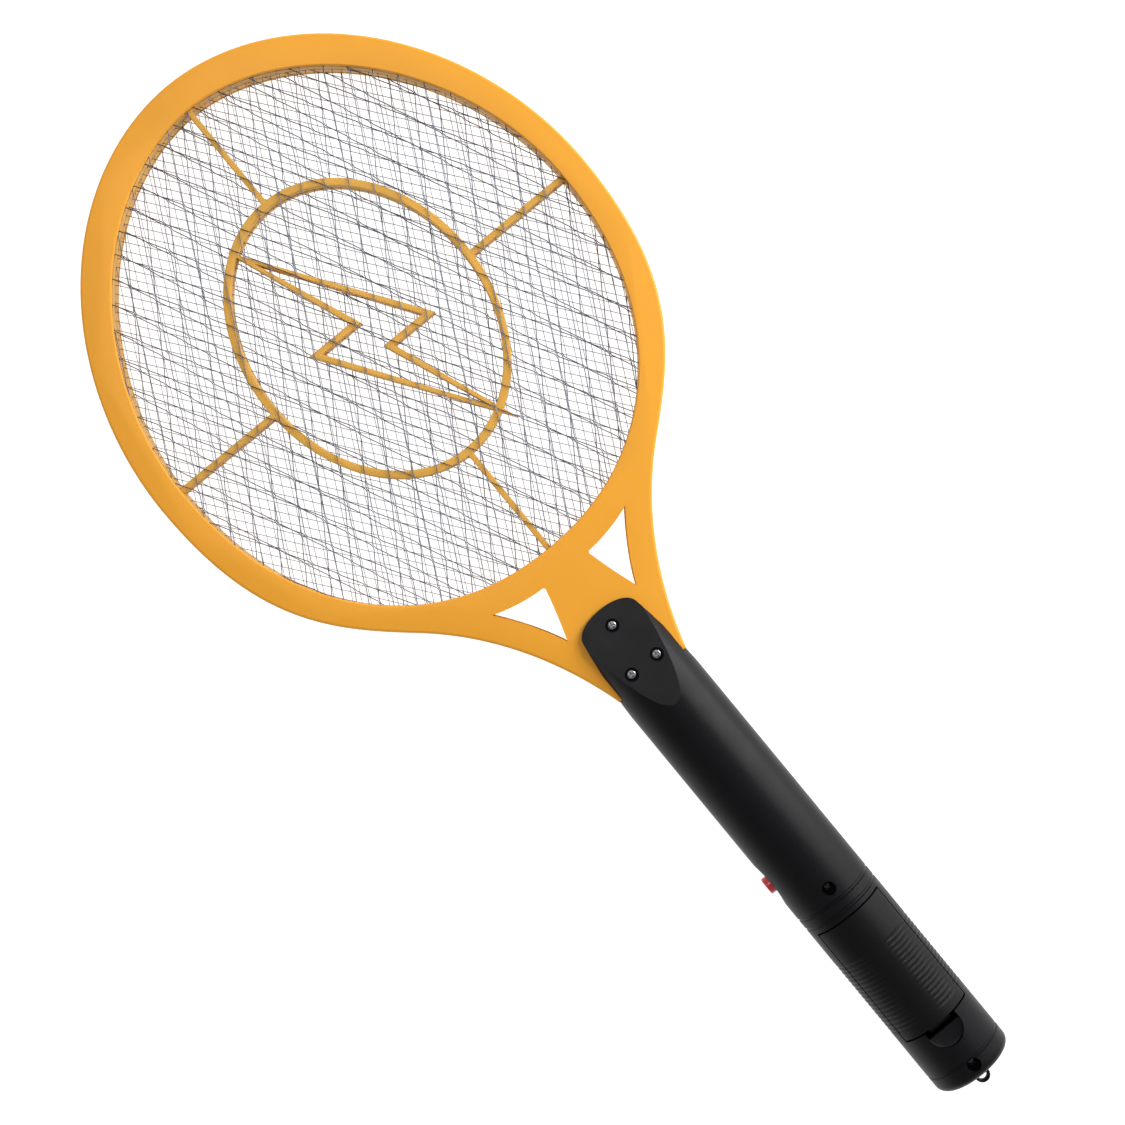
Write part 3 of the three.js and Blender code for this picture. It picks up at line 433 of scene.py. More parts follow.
def bezier(points, steps):
    """Cubic curve of four points."""
    curve = []
    for i in range(steps + 1):
        t = i / steps
        weights = ((1 - t) ** 3, 3 * t * (1 - t) ** 2, 3 * t * t * (1 - t), t ** 3)
        curve.append(blend(weights, points))
    return curve


def pushed(points, distance):
    """Open right half moved outwards by a distance, square to itself."""
    moved = []
    for i, (x, y) in enumerate(points):
        before, after = points[max(i - 1, 0)], points[min(i + 1, len(points) - 1)]
        side = Vector((after[0] - before[0], after[1] - before[1])).normalized()
        if i == 0:
            moved.append((0.0, y - distance))
        elif i == len(points) - 1:
            moved.append((0.0, y + distance))
        else:
            moved.append((x + side.y * distance, y - side.x * distance))
    return moved


def hole_outline(grow=0.0):
    width = HOLE_HALF_WIDTH + grow
    up = quarter(width, HOLE_WIDEST_AT, HOLE_TOP + grow - HOLE_WIDEST_AT, HOLE_EXPONENTS[0])
    down = quarter(width, HOLE_WIDEST_AT, HOLE_BOTTOM - grow - HOLE_WIDEST_AT, HOLE_EXPONENTS[1])
    return closed(down[::-1] + up[1:])


def inside_hole(x, y, grow=0.0):
    """True where a point lies inside the head's opening, grown by grow."""
    if y > HOLE_WIDEST_AT:
        reach, exponent = HOLE_TOP + grow - HOLE_WIDEST_AT, HOLE_EXPONENTS[0]
    else:
        reach, exponent = HOLE_WIDEST_AT - HOLE_BOTTOM + grow, HOLE_EXPONENTS[1]
    share = abs(x) / (HOLE_HALF_WIDTH + grow)
    return share ** exponent + (abs(y - HOLE_WIDEST_AT) / reach) ** exponent < 1


def head_outline(grow=0.0):
    """Outer outline of the head from the shank inside the handle to the top."""
    crown = quarter(HEAD_HALF_WIDTH, WIDEST_AT, HEAD_TOP - WIDEST_AT, HEAD_EXPONENT)
    x, y = WAIST
    rise, drop = CHEEK_REACHES
    cheek = bezier([WAIST, (x + rise * WAIST_SLOPE, y + rise), (HEAD_HALF_WIDTH, WIDEST_AT - drop),
                    (HEAD_HALF_WIDTH, WIDEST_AT)], 30)
    start = (RADIUS - 0.25, HANDLE_END + GAP)
    rise, drop = WING_REACHES
    wing = bezier([start, (start[0] + WING_FLARE, HANDLE_END + rise),
                   (x - drop * WAIST_SLOPE, y - drop), WAIST], 30)
    shank = [(0.0, SHANK_END), (SHANK_HALF_WIDTH, SHANK_END), (SHANK_HALF_WIDTH, start[1])]
    half = shank + wing + cheek[1:] + crown[1:]
    return closed(pushed(half, grow) if grow else half)


def window_outline(side, grow=0.0):
    """Triangular window in the neck, with curved sides and slightly blunted corners."""
    points = []
    for i in range(3):
        path = (WINDOW_CORNERS[i], WINDOW_BULGES[i], WINDOW_CORNERS[(i + 1) % 3])
        for k in range(WINDOW_STEPS + 1):
            t = WINDOW_TRIM + (1 - 2 * WINDOW_TRIM) * k / WINDOW_STEPS
            x, y = bend(t, path)
            points.append(Vector((x, HANDLE_END + y)))
    count = len(points)
    moved = []
    for i, point in enumerate(points):
        tangent = (points[(i + 1) % count] - points[i - 1]).normalized()
        moved.append((side * (point.x + grow * -tangent.y), point.y + grow * tangent.x))
    return moved


def tongue_outline(grow=0.0):
    """Outline of the handle seen from above, from the butt end to the tip of the neck pad."""
    wide = RADIUS + 1 + grow
    path = ((RADIUS + grow, HANDLE_END - 7.6), (RADIUS - 0.65 + grow, HANDLE_END + 8.4),
            (TONGUE_HALF_WIDTH + 0.2 + grow, TONGUE_SHOULDER - 2.2))
    side = [bend(i / 24, path) for i in range(25)]
    tip = bezier([(TONGUE_HALF_WIDTH + grow, TONGUE_SHOULDER - 1.2 + grow * 0.5),
                  (TONGUE_HALF_WIDTH - 0.6 + grow, TONGUE_SHOULDER + 1.6 + grow),
                  (TONGUE_HALF_WIDTH * 0.6, TONGUE_END + grow), (0.0, TONGUE_END + grow)], 24)
    return closed([(0.0, -2.0), (wide, -2.0), (wide, HANDLE_END - 10)] + side + tip)


def ellipse_outline(centre, half_width, half_length, steps=144):
    return [(half_width * math.cos(2 * math.pi * i / steps),
             centre + half_length * math.sin(2 * math.pi * i / steps)) for i in range(steps)]


def mitred(points, grow):
    """Polygon with each side moved outwards by grow, whichever way round its points run."""
    area = sum(p[0] * q[1] - q[0] * p[1] for p, q in zip(points, points[1:] + points[:1]))
    sign = 1 if area > 0 else -1
    moved = []
    for i, point in enumerate(points):
        here = Vector(point)
        before = (here - Vector(points[i - 1])).normalized()
        after = (Vector(points[(i + 1) % len(points)]) - here).normalized()
        normals = [Vector((edge.y, -edge.x)) * sign for edge in (before, after)]
        middle = (normals[0] + normals[1]).normalized()
        moved.append(tuple(here + middle * grow / max(middle.dot(normals[0]), 0.2)))
    return moved


# ---- materials ----
class Look:
    """Node material under construction: a principled shader with procedural inputs in object space."""

    def __init__(self, name, roughness, **sockets):
        self.material = bpy.data.materials.new(name)
        self.material.use_nodes = True
        self.nodes = self.material.node_tree.nodes
        self.links = self.material.node_tree.links
        self.shader = self.nodes["Principled BSDF"]
        self.shader.inputs["Roughness"].default_value = roughness
        for socket, value in sockets.items():
            self.shader.inputs[socket.replace("_", " ")].default_value = value
        self.place = self.nodes.new("ShaderNodeTexCoord").outputs["Object"]

    def node(self, kind, **settings):
        node = self.nodes.new("ShaderNode" + kind)
        for key, value in settings.items():
            if key in node.inputs:
                node.inputs[key].default_value = value
            else:
                setattr(node, key, value)
        return node

    def noise(self, size_mm, detail=3.0, stretch=(1, 1, 1)):
        """Noise whose features are about size_mm across, stretched along an axis where asked."""
        mapping = self.node("Mapping")
        mapping.inputs["Scale"].default_value = [1 / s for s in stretch]
        self.links.new(self.place, mapping.inputs["Vector"])
        noise = self.node("TexNoise", Scale=1 / (size_mm * MM), Detail=detail)
        self.links.new(mapping.outputs["Vector"], noise.inputs["Vector"])
        return noise.outputs["Fac"]

    def ramp(self, factor, stops):
        node = self.node("ValToRGB")
        elements = node.color_ramp.elements
        while len(elements) < len(stops):
            elements.new(0.5)
        for element, (place, colour) in zip(elements, stops):
            element.position = place
            element.color = (*colour, 1)
        self.links.new(factor, node.inputs["Fac"])
        return node.outputs["Color"]

    def colour(self, factor, stops):
        self.links.new(self.ramp(factor, stops), self.shader.inputs["Base Color"])
        return self

    def rough(self, factor, low, high):
        node = self.node("MapRange", **{"To Min": low, "To Max": high})
        self.links.new(factor, node.inputs["Value"])
        self.links.new(node.outputs["Result"], self.shader.inputs["Roughness"])
        return self

    def bump(self, *layers):
        """Bump from (height, depth in millimetres) layers, each on top of the one before."""
        normal = None
        for height, depth in layers:
            node = self.node("Bump", Strength=1.0, Distance=depth * MM)
            self.links.new(height, node.inputs["Height"])
            if normal:
                self.links.new(normal, node.inputs["Normal"])
            normal = node.outputs["Normal"]
        self.links.new(normal, self.shader.inputs["Normal"])
        return self


def shade(colour, factor):
    return tuple(c * factor for c in colour)


def moulded(name, colour, roughness, grain=0.35, grain_depth=0.006, spread=0.06, **sockets):
    """Moulded plastic: faint flow marks in the colour, a fine spark-eroded grain and uneven gloss."""
    look = Look(name, roughness, **sockets)
    flow = look.noise(38, 2.0, (1, 2.4, 1))
    look.colour(flow, [(0.3, shade(colour, 1 - spread)), (0.7, shade(colour, 1 + spread))])
    look.rough(look.noise(9, 4.0), roughness - 0.05, roughness + 0.07)
    look.bump((look.noise(14, 1.0), grain_depth * 3), (look.noise(grain, 2.0), grain_depth))
    return look.material


def metal(name, colour, roughness, stretch=(1, 1, 1), grain=0.5, **sockets):
    """Drawn or stamped metal: dull patches, fine drawing marks along one axis."""
    look = Look(name, roughness, Metallic=1.0, **sockets)
    look.colour(look.noise(2.4, 4.0, stretch), [(0.35, shade(colour, 0.72)), (0.65, colour)])
    look.rough(look.noise(1.1, 3.0, stretch), roughness - 0.08, roughness + 0.12)
    look.bump((look.noise(grain, 3.0, stretch), 0.012))
    return look.material


def enamel(name, colour, roughness, **sockets):
    """Dipped or painted coating: slight colour clouds and an orange-peel surface."""
    look = Look(name, roughness, **sockets)
    look.colour(look.noise(4, 3.0), [(0.3, shade(colour, 0.82)), (0.7, shade(colour, 1.1))])
    look.rough(look.noise(1.5, 2.0), roughness - 0.06, roughness + 0.08)
    look.bump((look.noise(0.9, 2.0), 0.02))
    return look.material


def laminate(name, colour):
    """Phenolic board: woven paper mottling with darker specks."""
    look = Look(name, 0.55)
    look.colour(look.noise(0.8, 6.0, (1, 3, 1)), [(0.35, shade(colour, 0.72)), (0.6, colour)])
    look.rough(look.noise(0.5, 3.0), 0.45, 0.68)
    look.bump((look.noise(0.6, 3.0), 0.01))
    return look.material


def winding(name, colour):
    """Enamelled copper wire wound in close turns along the core."""
    look = Look(name, 0.35, Metallic=0.9)
    wave = look.node("TexWave", Scale=2000.0, Distortion=0.4)
    wave.bands_direction = "Y"
    look.links.new(look.place, wave.inputs["Vector"])
    # The colour darkens in the wave's troughs, where the bump sinks the surface: painted shade between the
    # turns.
    look.colour(wave.outputs["Fac"], [(0.2, shade(colour, 0.45)), (0.8, colour)])
    look.rough(look.noise(1.2, 2.0), 0.28, 0.45)
    look.bump((wave.outputs["Fac"], 0.08))
    return look.material


MATERIALS = {
    "orange": moulded("orange_plastic", (0.80, 0.345, 0.026), 0.42, grain_depth=0.003, spread=0.03,
                      Specular_IOR_Level=0.25),
    # The spacers are the same orange plastic as the frame; this duller, yellower copy is painted shade of the
    # grids lying over them.
    "grid_shaded_orange": moulded("grid_shaded_orange_plastic", (0.68, 0.36, 0.06), 0.45, grain_depth=0.003, spread=0.05,
                     Specular_IOR_Level=0.25),
    "black": moulded("black_plastic", (0.004, 0.004, 0.005), 0.4, grain_depth=0.008, spread=0.1,
                     Specular_IOR_Level=0.15),
    "door": moulded("door_plastic", (0.0038, 0.0038, 0.0045), 0.42, grain_depth=0.008, spread=0.1,
                    Specular_IOR_Level=0.15),
    "red": moulded("red_plastic", (0.74, 0.03, 0.045), 0.3, grain_depth=0.002, Coat_Weight=0.3),
    "wire": metal("grid_wire", (0.11, 0.12, 0.15), 0.46, grain=0.3),
    "fine_wire": metal("fine_wire", (0.15, 0.16, 0.20), 0.5, grain=0.2),
    "screw": metal("screw_steel", (0.5, 0.51, 0.53), 0.22, grain=0.25),
    # The grip and butt screws are the same steel as the neck screws; this darker copy is painted shade of the
    # deep bores they sit in.
    "bore_shaded_screw": metal("bore_shaded_screw_steel", (0.1, 0.1, 0.105), 0.3, grain=0.25),
    "contact": metal("contact_steel", (0.66, 0.65, 0.62), 0.3, (1, 1, 4), 0.4),
    "board": laminate("board_laminate", (0.42, 0.25, 0.09)),
    "ferrite": enamel("ferrite_grey", (0.045, 0.042, 0.044), 0.7),
    "copper": winding("copper_winding", (0.72, 0.3, 0.12)),
    "film": enamel("film_maroon", (0.24, 0.025, 0.015), 0.3, Coat_Weight=0.4),
    "ceramic": enamel("ceramic_tan", (0.5, 0.36, 0.18), 0.5),
    "resin": enamel("resin_black", (0.022, 0.022, 0.024), 0.4),
    "switch": moulded("switch_black", (0.03, 0.03, 0.032), 0.5),
    "red_wire": enamel("red_sleeve", (0.5, 0.02, 0.02), 0.45),
    "black_wire": enamel("black_sleeve", (0.02, 0.02, 0.021), 0.45),
    "lens": moulded("lens_clear", (0.75, 0.8, 0.78), 0.12, grain_depth=0.001, Transmission_Weight=0.7),
}


# ---- head ----
def frame_half(name):
    """Half of the head's shell on the rear side, hollow between its outer wall and its face."""
    lip_under = FACE - LIP
    body = slab(name, head_outline, [(0.0, SEAM)] + rounded(FACE, EDGE))
    room = slab("room", lambda grow: head_outline(grow - HEAD_WALL), [(0, -1), (0, lip_under)])
    posts = [slab("post", lambda grow, s=s: window_outline(s, POST_WALL), [(0, -2), (0, lip_under + 1)])
             for s in (-1, 1)]
    posts += [upright(BOSS_RADIUS, x, y, -2, lip_under + 1) for x, y in NECK_SCREWS]
    cut(room, *posts)
    levels = [(0, -1)] + rounded(FACE, HOLE_EDGE, outwards=True) + [(HOLE_EDGE, FACE + 1)]
    opening = slab("opening", hole_outline, levels)
    windows = [slab("window", lambda grow, s=s: window_outline(s, grow), levels) for s in (-1, 1)]
    bores = [upright(HEAD_BORE, x, y, -1, FACE + 1) for x, y in NECK_SCREWS]
    wires = block("wires", (-LEAD_ROOM, SHANK_END - 1, -1),
                  (LEAD_ROOM, SHANK_END + HEAD_WALL + 1, LEAD_ROOM))
    ridge = slab("ridge", hole_outline, [(GRID_LEDGE, COARSE_MIDDLE + 0.45), (GRID_LEDGE, lip_under + 0.1)])
    join(cut(body, room), ridge)
    return cut(body, opening, wires, *windows, *bores)


def spacer_piece(name):
    """Spacer on the rear side: rim, inner ring, four spokes and the zigzag flash; only the rim is sharp."""
    low, high = SPACER_LOW, SPACER_HIGH
    soft = rounded(high, SMALL_EDGE, 3)
    under = [(offset, low + high - z) for offset, z in reversed(soft)]

    def around(outline):
        return slab("part", outline, under + soft)

    rim = slab("rim", hole_outline, [(SPACER_RIM, low - 0.25), (SPACER_RIM, high + 0.15)])
    body = cut(rim, slab("hole", hole_outline, [(0, low - 1), (0, high + 1)]))
    body.name = name
    ring = around(lambda g: ellipse_outline(RING_CENTRE, RING_HALF[0] + g, RING_HALF[1] + g))
    inner = [(-offset, z) for offset, z in under + soft]
    through = [(SMALL_EDGE, low - 1)] + inner + [(SMALL_EDGE, high + 1)]
    cut(ring, slab("hole", lambda g: ellipse_outline(RING_CENTRE, RING_HALF[0] - RING_BAND + g,
                                                     RING_HALF[1] - RING_BAND + g), through))
    spokes = []
    ends = (((0, RING_CENTRE + RING_HALF[1] - 1), (0, HOLE_TOP + 1)),
            ((0, RING_CENTRE - RING_HALF[1] + 1), (0, HOLE_BOTTOM - 1)),
            ((RING_HALF[0] - 1, BOLT_CENTRE), (HOLE_HALF_WIDTH + 1, BOLT_CENTRE)),
            ((1 - RING_HALF[0], BOLT_CENTRE), (-HOLE_HALF_WIDTH - 1, BOLT_CENTRE)))
    for start, end in ends:
        spokes.append(around(lambda g, a=start, b=end: bar_outline(a, b, SPOKE + 2 * g)))
    bolt = around(lambda g: mitred(bolt_corners(), BOLT_STROKE / 2 + g))
    cut(bolt, slab("hole", lambda g: mitred(bolt_corners(), g - BOLT_STROKE / 2), through))
    return join(body, ring, bolt, *spokes)


def bar_outline(start, end, width):
    a, b = Vector(start), Vector(end)
    side = (b - a).normalized().orthogonal() * width / 2
    return [tuple(a + side), tuple(b + side), tuple(b - side), tuple(a - side)]


def bolt_corners():
    half = [(-BOLT_TIP[0], BOLT_TIP[1]), (BOLT_SHOULDER[0], -BOLT_SHOULDER[1]),
            (BOLT_NOTCH, -BOLT_SHOULDER[1])]
    return [(x, BOLT_CENTRE + y) for x, y in half + [(-x, -y) for x, y in half]]


class Wires:
    """Many thin round wires gathered into one mesh."""

    def __init__(self, radius):
        turns = [2 * math.pi * i / WIRE_SIDES + RING_TURN for i in range(WIRE_SIDES)]
        self.ring = [(radius * math.cos(a), radius * math.sin(a)) for a in turns]
        self.points = []
        self.faces = []

    def add(self, path):
        """Wire along a path that lies nearly flat, capped at both ends."""
        if len(path) < 2:
            return
        first, sides = len(self.points), len(self.ring)
        for i, point in enumerate(path):
            before, after = path[max(i - 1, 0)], path[min(i + 1, len(path) - 1)]
            dx, dy = after[0] - before[0], after[1] - before[1]
            length = math.hypot(dx, dy)
            across = (dy / length, -dx / length)
            for u, v in self.ring:
                self.points.append((point[0] + across[0] * u, point[1] + across[1] * u, point[2] + v))
        for row in range(len(path) - 1):
            low = first + row * sides
            for i in range(sides):
                after = (i + 1) % sides
                self.faces.append((low + i, low + after, low + sides + after, low + sides + i))
        last = len(self.points) - sides
        self.faces.append(tuple(range(first, first + sides)))
        self.faces.append(tuple(range(last, last + sides)))

    def piece(self, name):
        return mesh_object(name, self.points, self.faces)


def runs_inside(path, grow):
    """Stretches of a path that lie inside the head's opening, grown by grow."""
    stretch = []
    for point in path:
        if inside_hole(point[0], point[1], grow):
            stretch.append(point)
        elif stretch:
            yield stretch
            stretch = []
    if stretch:
        yield stretch


def strand(column, phase, rows):
    """Places (across, along, lift) on one zigzag strand of the expanded metal."""
    width, length = COARSE_CELL
    swing = width / 4 - COARSE_WIRE / 2
    flat = KNUCKLE / length
    middle = (column + phase[0]) * width / 2
    way = 1 if column % 2 else -1
    for i in range(-rows * COARSE_STEPS // 2, rows * COARSE_STEPS // 2 + 1):
        cycle = (i / COARSE_STEPS) % 1
        share = min(max((abs(cycle * 2 - 1) - flat) / (1 - 2 * flat), 0), 1)
        across = middle + way * swing * (2 * share - 1)
        lift = COARSE_WAVE * math.cos(2 * math.pi * cycle) * way
        yield across, (i / COARSE_STEPS + phase[1]) * length, lift


def coarse_grid(name, side, level):
    """Expanded metal: flat zigzag strands side by side, joined where two of them meet in a knuckle."""
    wires = Wires(COARSE_WIRE / 2)
    width, length = COARSE_CELL
    columns = math.ceil(2 * HOLE_HALF_WIDTH / width) + SPARE_CELLS
    rows = math.ceil((HOLE_TOP - HOLE_BOTTOM) / length) + SPARE_CELLS
    turn = math.radians(COARSE_TURNS[side])
    for column in range(-columns, columns + 1):
        path = []
        for across, up, lift in strand(column, COARSE_PHASES[side], rows):
            x = across * math.cos(turn) - up * math.sin(turn)
            y = HOLE_WIDEST_AT + across * math.sin(turn) + up * math.cos(turn)
            path.append((x, y, level + lift))
        for stretch in runs_inside(path, GRID_OVERLAP):
            wires.add(stretch)
    return wires.piece(name)


def fine_grid(name):
    """Fine mesh of two families of straight wires that pass over and under each other."""
    wires = Wires(FINE_WIRE / 2)
    first, second = (math.radians(a) for a in FINE_ANGLES)
    step = FINE_PITCH / math.sin(first - second)
    a = Vector((-math.sin(first), math.cos(first))) * step
    b = Vector((-math.sin(second), math.cos(second))) * step
    count = math.ceil((HOLE_TOP - HOLE_BOTTOM) / step)
    for k in range(-count, count + 1):
        for way, wire, shift in ((1, a, b), (-1, b, a)):
            path = []
            for i in range(-count * FINE_STEPS, count * FINE_STEPS + 1):
                share = i / FINE_STEPS
                place = wire * share + shift * k
                z = way * FINE_WAVE * math.cos(math.pi * (share + k))
                path.append((place.x, HOLE_WIDEST_AT + place.y, z))
            for stretch in runs_inside(path, GRID_OVERLAP):
                wires.add(stretch)
    return wires.piece(name)


# ---- handle ----
def facet_height(y):
    return RADIUS - FACET_SLOPE * (y - FACET_START)


def groove_shape(y):
    """How deep the ring grooves are at y."""
    for place in GROOVES:
        away = abs(y - place) / (GROOVE_WIDTH / 2)
        if away < 1:
            return GROOVE_DEPTH * min(1, 2 * (1 - away))
    return 0.0


def rib_shape(y, x):
    """Depth of the grip ribs at y, fading out towards the middle of the face."""
    last = RIB_FIRST + (RIB_COUNT - 1) * RIB_PITCH
    if y < RIB_FIRST - RIB_WIDTH or y > last + RIB_WIDTH:
        return 0.0
    nearest = RIB_FIRST + round(min(max((y - RIB_FIRST) / RIB_PITCH, 0), RIB_COUNT - 1)) * RIB_PITCH
    away = abs(y - nearest) / RIB_WIDTH
    fade = min(max((abs(x) - 2.5) / 5.5, 0), 1)
    return RIB_DEPTH * fade * fade * (3 - 2 * fade) * (0.5 + 0.5 * math.cos(math.pi * min(away, 1)))


def skin_rows():
    """Places along the handle where the skin has a ring of points."""
    rows = {END_RADIUS + 0.4, TONGUE_END + 4}
    rows |= {round(y, 2) for y in np.arange(12, TONGUE_END, 6.0)}
    for place in GROOVES:
        rows |= {round(place + k * GROOVE_WIDTH / 4, 2) for k in (-2, -1, 1, 2)}
    for rib in range(RIB_COUNT):
        rows |= {round(RIB_FIRST + rib * RIB_PITCH + k * RIB_PITCH / 8, 2) for k in range(-4, 5)}
    return sorted(rows)


def skin(name, inset=0.0, plain=False):
    """Solid inside the handle's outer surface, drawn in by inset; plain leaves out grooves and ribs."""
    radius = RADIUS - inset
    corner = max(END_RADIUS - inset, 0.8)
    rings = [(0.001, inset)]
    rings += [(radius - corner + corner * sine, inset + corner - corner * cosine)
              for sine, cosine in quarter_turn(8)]
    rows = [y for y in skin_rows() if y > inset + corner + 0.2]
    points = []
    for i in range(len(rings) + len(rows)):
        for k in range(AROUND):
            a = 2 * math.pi * (k + 0.5) / AROUND
            if i < len(rings):
                r, y = rings[i]
            else:
                y = rows[i - len(rings)]
                r = radius if plain else radius - groove_shape(y) - rib_shape(y, radius * math.sin(a))
            points.append((r * math.sin(a), y, r * math.cos(a)))
    faces = grid_faces(len(rings) + len(rows), AROUND)
    faces.append(tuple(range(AROUND)))
    faces.append(tuple(range(len(points) - AROUND, len(points))))
    return mesh_object(name, points, faces)


def over_facet(drop=0.0):
    """Space above the sloping face of the neck pad."""
    start, end = FACET_START - 12, TONGUE_END + 6
    profile = [(start, facet_height(start) - drop), (end, facet_height(end) - drop), (end, FAR), (start, FAR)]
    return loft("over", [[(x, y, z) for y, z in profile] for x in (-FAR, FAR)])


def within(tool, inset):
    """Part of a tool that lies inside the handle's plain surface drawn in by inset."""
    return keep(tool, skin("in", inset, True))


def screw_top(y, depth):
    return (facet_height(y) if y > FACET_START else RADIUS) - depth


def shell_half(name):
    """Rear half of the handle's shell, before its openings are cut."""
    body = keep(skin(name), slab("plan", tongue_outline, [(0, SEAM), (0, FAR)]))
    cut(body, over_facet())
    cavity = keep(skin("cavity", HANDLE_WALL, True),
                  slab("plan", lambda g: tongue_outline(g - HANDLE_WALL), [(0, -FAR), (0, FAR)]),
                  block("end", (-FAR, -1, -FAR), (FAR, HANDLE_END - 4, FAR)))
    cut(cavity, over_facet(HANDLE_WALL))
    seat = block("seat", (-FAR, HANDLE_END, -1), (FAR, TONGUE_END + 8, FACE + GAP))
    wide = SHANK_HALF_WIDTH + GAP
    shank = block("shank", (-wide, SHANK_END - GAP, -1), (wide, HANDLE_END + 1, FACE + GAP))
    return cut(body, cavity, seat, shank)


def dish_and_bore():
    centre = -RADIUS - DISH_RADIUS + DISH_DEPTH
    steps = 64
    profile = [(DISH_RADIUS * math.sin(math.pi * i / steps), -DISH_RADIUS * math.cos(math.pi * i / steps))
               for i in range(steps + 1)]
    dish = turned("dish", profile, (centre, BUTTON_AT, 0), "x", 160)
    bore = turned("bore", rod(BUTTON_RADIUS + 0.25, -FAR, 0), (0, BUTTON_AT, 0), "x", 64)
    room = turned("room", rod(FLANGE_ROOM_RADIUS, *FLANGE_ROOM), (0, BUTTON_AT, 0), "x", 64)
    return dish, bore, room


def seats(places, depth):
    tools = []
    for x, y in places:
        top = screw_top(y, depth)
        tools.append(upright(COUNTERBORE, x, y, top - 1.7, RADIUS + 5))
        tools.append(upright(SCREW_BORE, x, y, -1, top))
    return tools


def rear_shell():
    body = shell_half("rear_shell")
    pads = [within(upright(4.0, x, y, 5.5, FAR), 1) for x, y in GRIP_SCREWS]
    thumb_floor = RADIUS - THUMB_DEPTH
    thumb_pad = keep(upright(THUMB_RADIUS + 1.2, 0, THUMB_AT, thumb_floor - HANDLE_WALL, RADIUS - 0.6),
                     block("end", (-20, 8.4, 0), (20, SLOT_END + 1, FAR)), skin("in", GAP, True))
    join(body, thumb_pad, *pads)
    side = DOOR_HALF_WIDTH + DOOR_GAPS[0]
    opening = slab("opening", lambda g: rounded_box(-side, side, DOOR_BOTTOM - DOOR_GAPS[1],
                                                    DOOR_TOP + DOOR_GAPS[0], 0.5), [(0, 2), (0, FAR)])
    slot = block("slot", (-THUMB_RADIUS + 0.3, SLOT_END, 4), (THUMB_RADIUS - 0.3, DOOR_BOTTOM, FAR))
    profile = [(0, thumb_floor), (THUMB_RADIUS - 0.8, thumb_floor), (THUMB_RADIUS - 0.2, thumb_floor + 0.25),
               (THUMB_RADIUS, thumb_floor + 0.9), (THUMB_RADIUS, 30), (0, 30)]
    recess = turned("recess", profile, (0, THUMB_AT, 0), "z", 96)
    return cut(body, opening, slot, recess, *dish_and_bore(), *seats(NECK_SCREWS, NECK_SCREW_DEPTH),
               *seats(GRIP_SCREWS, GRIP_SCREW_DEPTH))


def rounded_box(x0, x1, y0, y1, radius, steps=5):
    points = []
    for cx, cy, start in ((x1 - radius, y0 + radius, -90), (x1 - radius, y1 - radius, 0),
                          (x0 + radius, y1 - radius, 90), (x0 + radius, y0 + radius, 180)):
        for i in range(steps + 1):
            a = math.radians(start + 90 * i / steps)
            points.append((cx + radius * math.cos(a), cy + radius * math.sin(a)))
    return points


def cross_wall(y, low, high, inset):
    return within(block("wall", (-20, y, low), (20, y + INNER_WALL, high)), inset)


def front_shell():
    """Front half: a turned copy of the plain half with bosses, walls, cradles, board posts and the eye."""
    plain = shell_half("plain_half")
    body = flipped(plain, "front_shell")
    bpy.data.objects.remove(plain)
    bay = (along(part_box("contact_bridge")[0].y) - GAP, along(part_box("contact_positive")[1].y) + GAP)
    board = [along(v.y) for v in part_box("circuit_board")]
    inner = []
    for x, y in GRIP_SCREWS:
        inner.append(within(upright(3.4, x, y, -FAR, 5.2), 1))
    for y in (bay[1], bay[0] - INNER_WALL):
        inner.append(cross_wall(y, -FAR, -SEAM, INNER_FIT))
        inner.append(cross_wall(y, -GAP, 1.5, 2.3))
    for y in (board[0] + 12, board[1] - 12):
        for x in (-8, 8):
            inner.append(within(upright(POST_RADIUS, x, y, -FAR, -5.2), 1))
    for share in (0.22, 0.78):
        y = bay[0] + share * (bay[1] - bay[0])
        rib = cross_wall(y, -FAR, -3, INNER_FIT)
        cells = [turned("cell", rod(CRADLE_RADIUS, y - 1, y + 3), (x, 0, -1), "y")
                 for x in (-CELL_APART, CELL_APART)]
        inner.append(cut(rib, *cells))
    join(body, *inner, lanyard_eye())
    bores = [upright(SCREW_BORE, x, y, -FACE - 2 - (facet_height(y) - FACE) / 2, 0) for x, y in NECK_SCREWS]
    bores += [upright(SCREW_BORE, x, y, -5.8, 17) for x, y in GRIP_SCREWS]
    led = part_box("indicator_led")
    led_hole = upright((led[1].x - led[0].x) / 2 / MM + 0.2, 0, along((led[0].y + led[1].y) / 2), -FAR, -13)
    return cut(body, *bores, led_hole, *dish_and_bore())


def lanyard_eye():
    """Ring-shaped eye on the butt end, rounded like a bent rod."""
    rod = (EYE_RADIUS - EYE_HOLE) / 2
    half = EYE_HALF_THICKNESS
    middle = (EYE_RADIUS + EYE_HOLE) / 2
    sections, around = 64, 20
    points = []
    for i in range(sections):
        a = 2 * math.pi * i / sections
        for k in range(around):
            b = 2 * math.pi * k / around
            out = middle + rod * squared(math.cos(b))
            points.append((out * math.cos(a), -EYE_AT + out * math.sin(a), half * squared(math.sin(b))))
    faces = grid_faces(sections, around)
    faces += [((sections - 1) * around + k, (sections - 1) * around + (k + 1) % around, (k + 1) % around, k)
              for k in range(around)]
    eye = mesh_object("eye", points, faces)
    root = slab("root", lambda g: rounded_box(-EYE_RADIUS, EYE_RADIUS, -EYE_AT + 0.9, 2.0, 0.4),
                [(0, -half), (0, half)])
    hole = upright(EYE_HOLE, 0, -EYE_AT, -3, 3)
    cut(root, hole)
    join(eye, root)
    return cut(eye, block("seam", (-9, -GAP, -SEAM), (9, 9, 9)))


def squared(value):
    """Sine or cosine drawn towards 1, which makes a circle squarer."""
    return math.copysign(abs(value) ** 0.7, value)


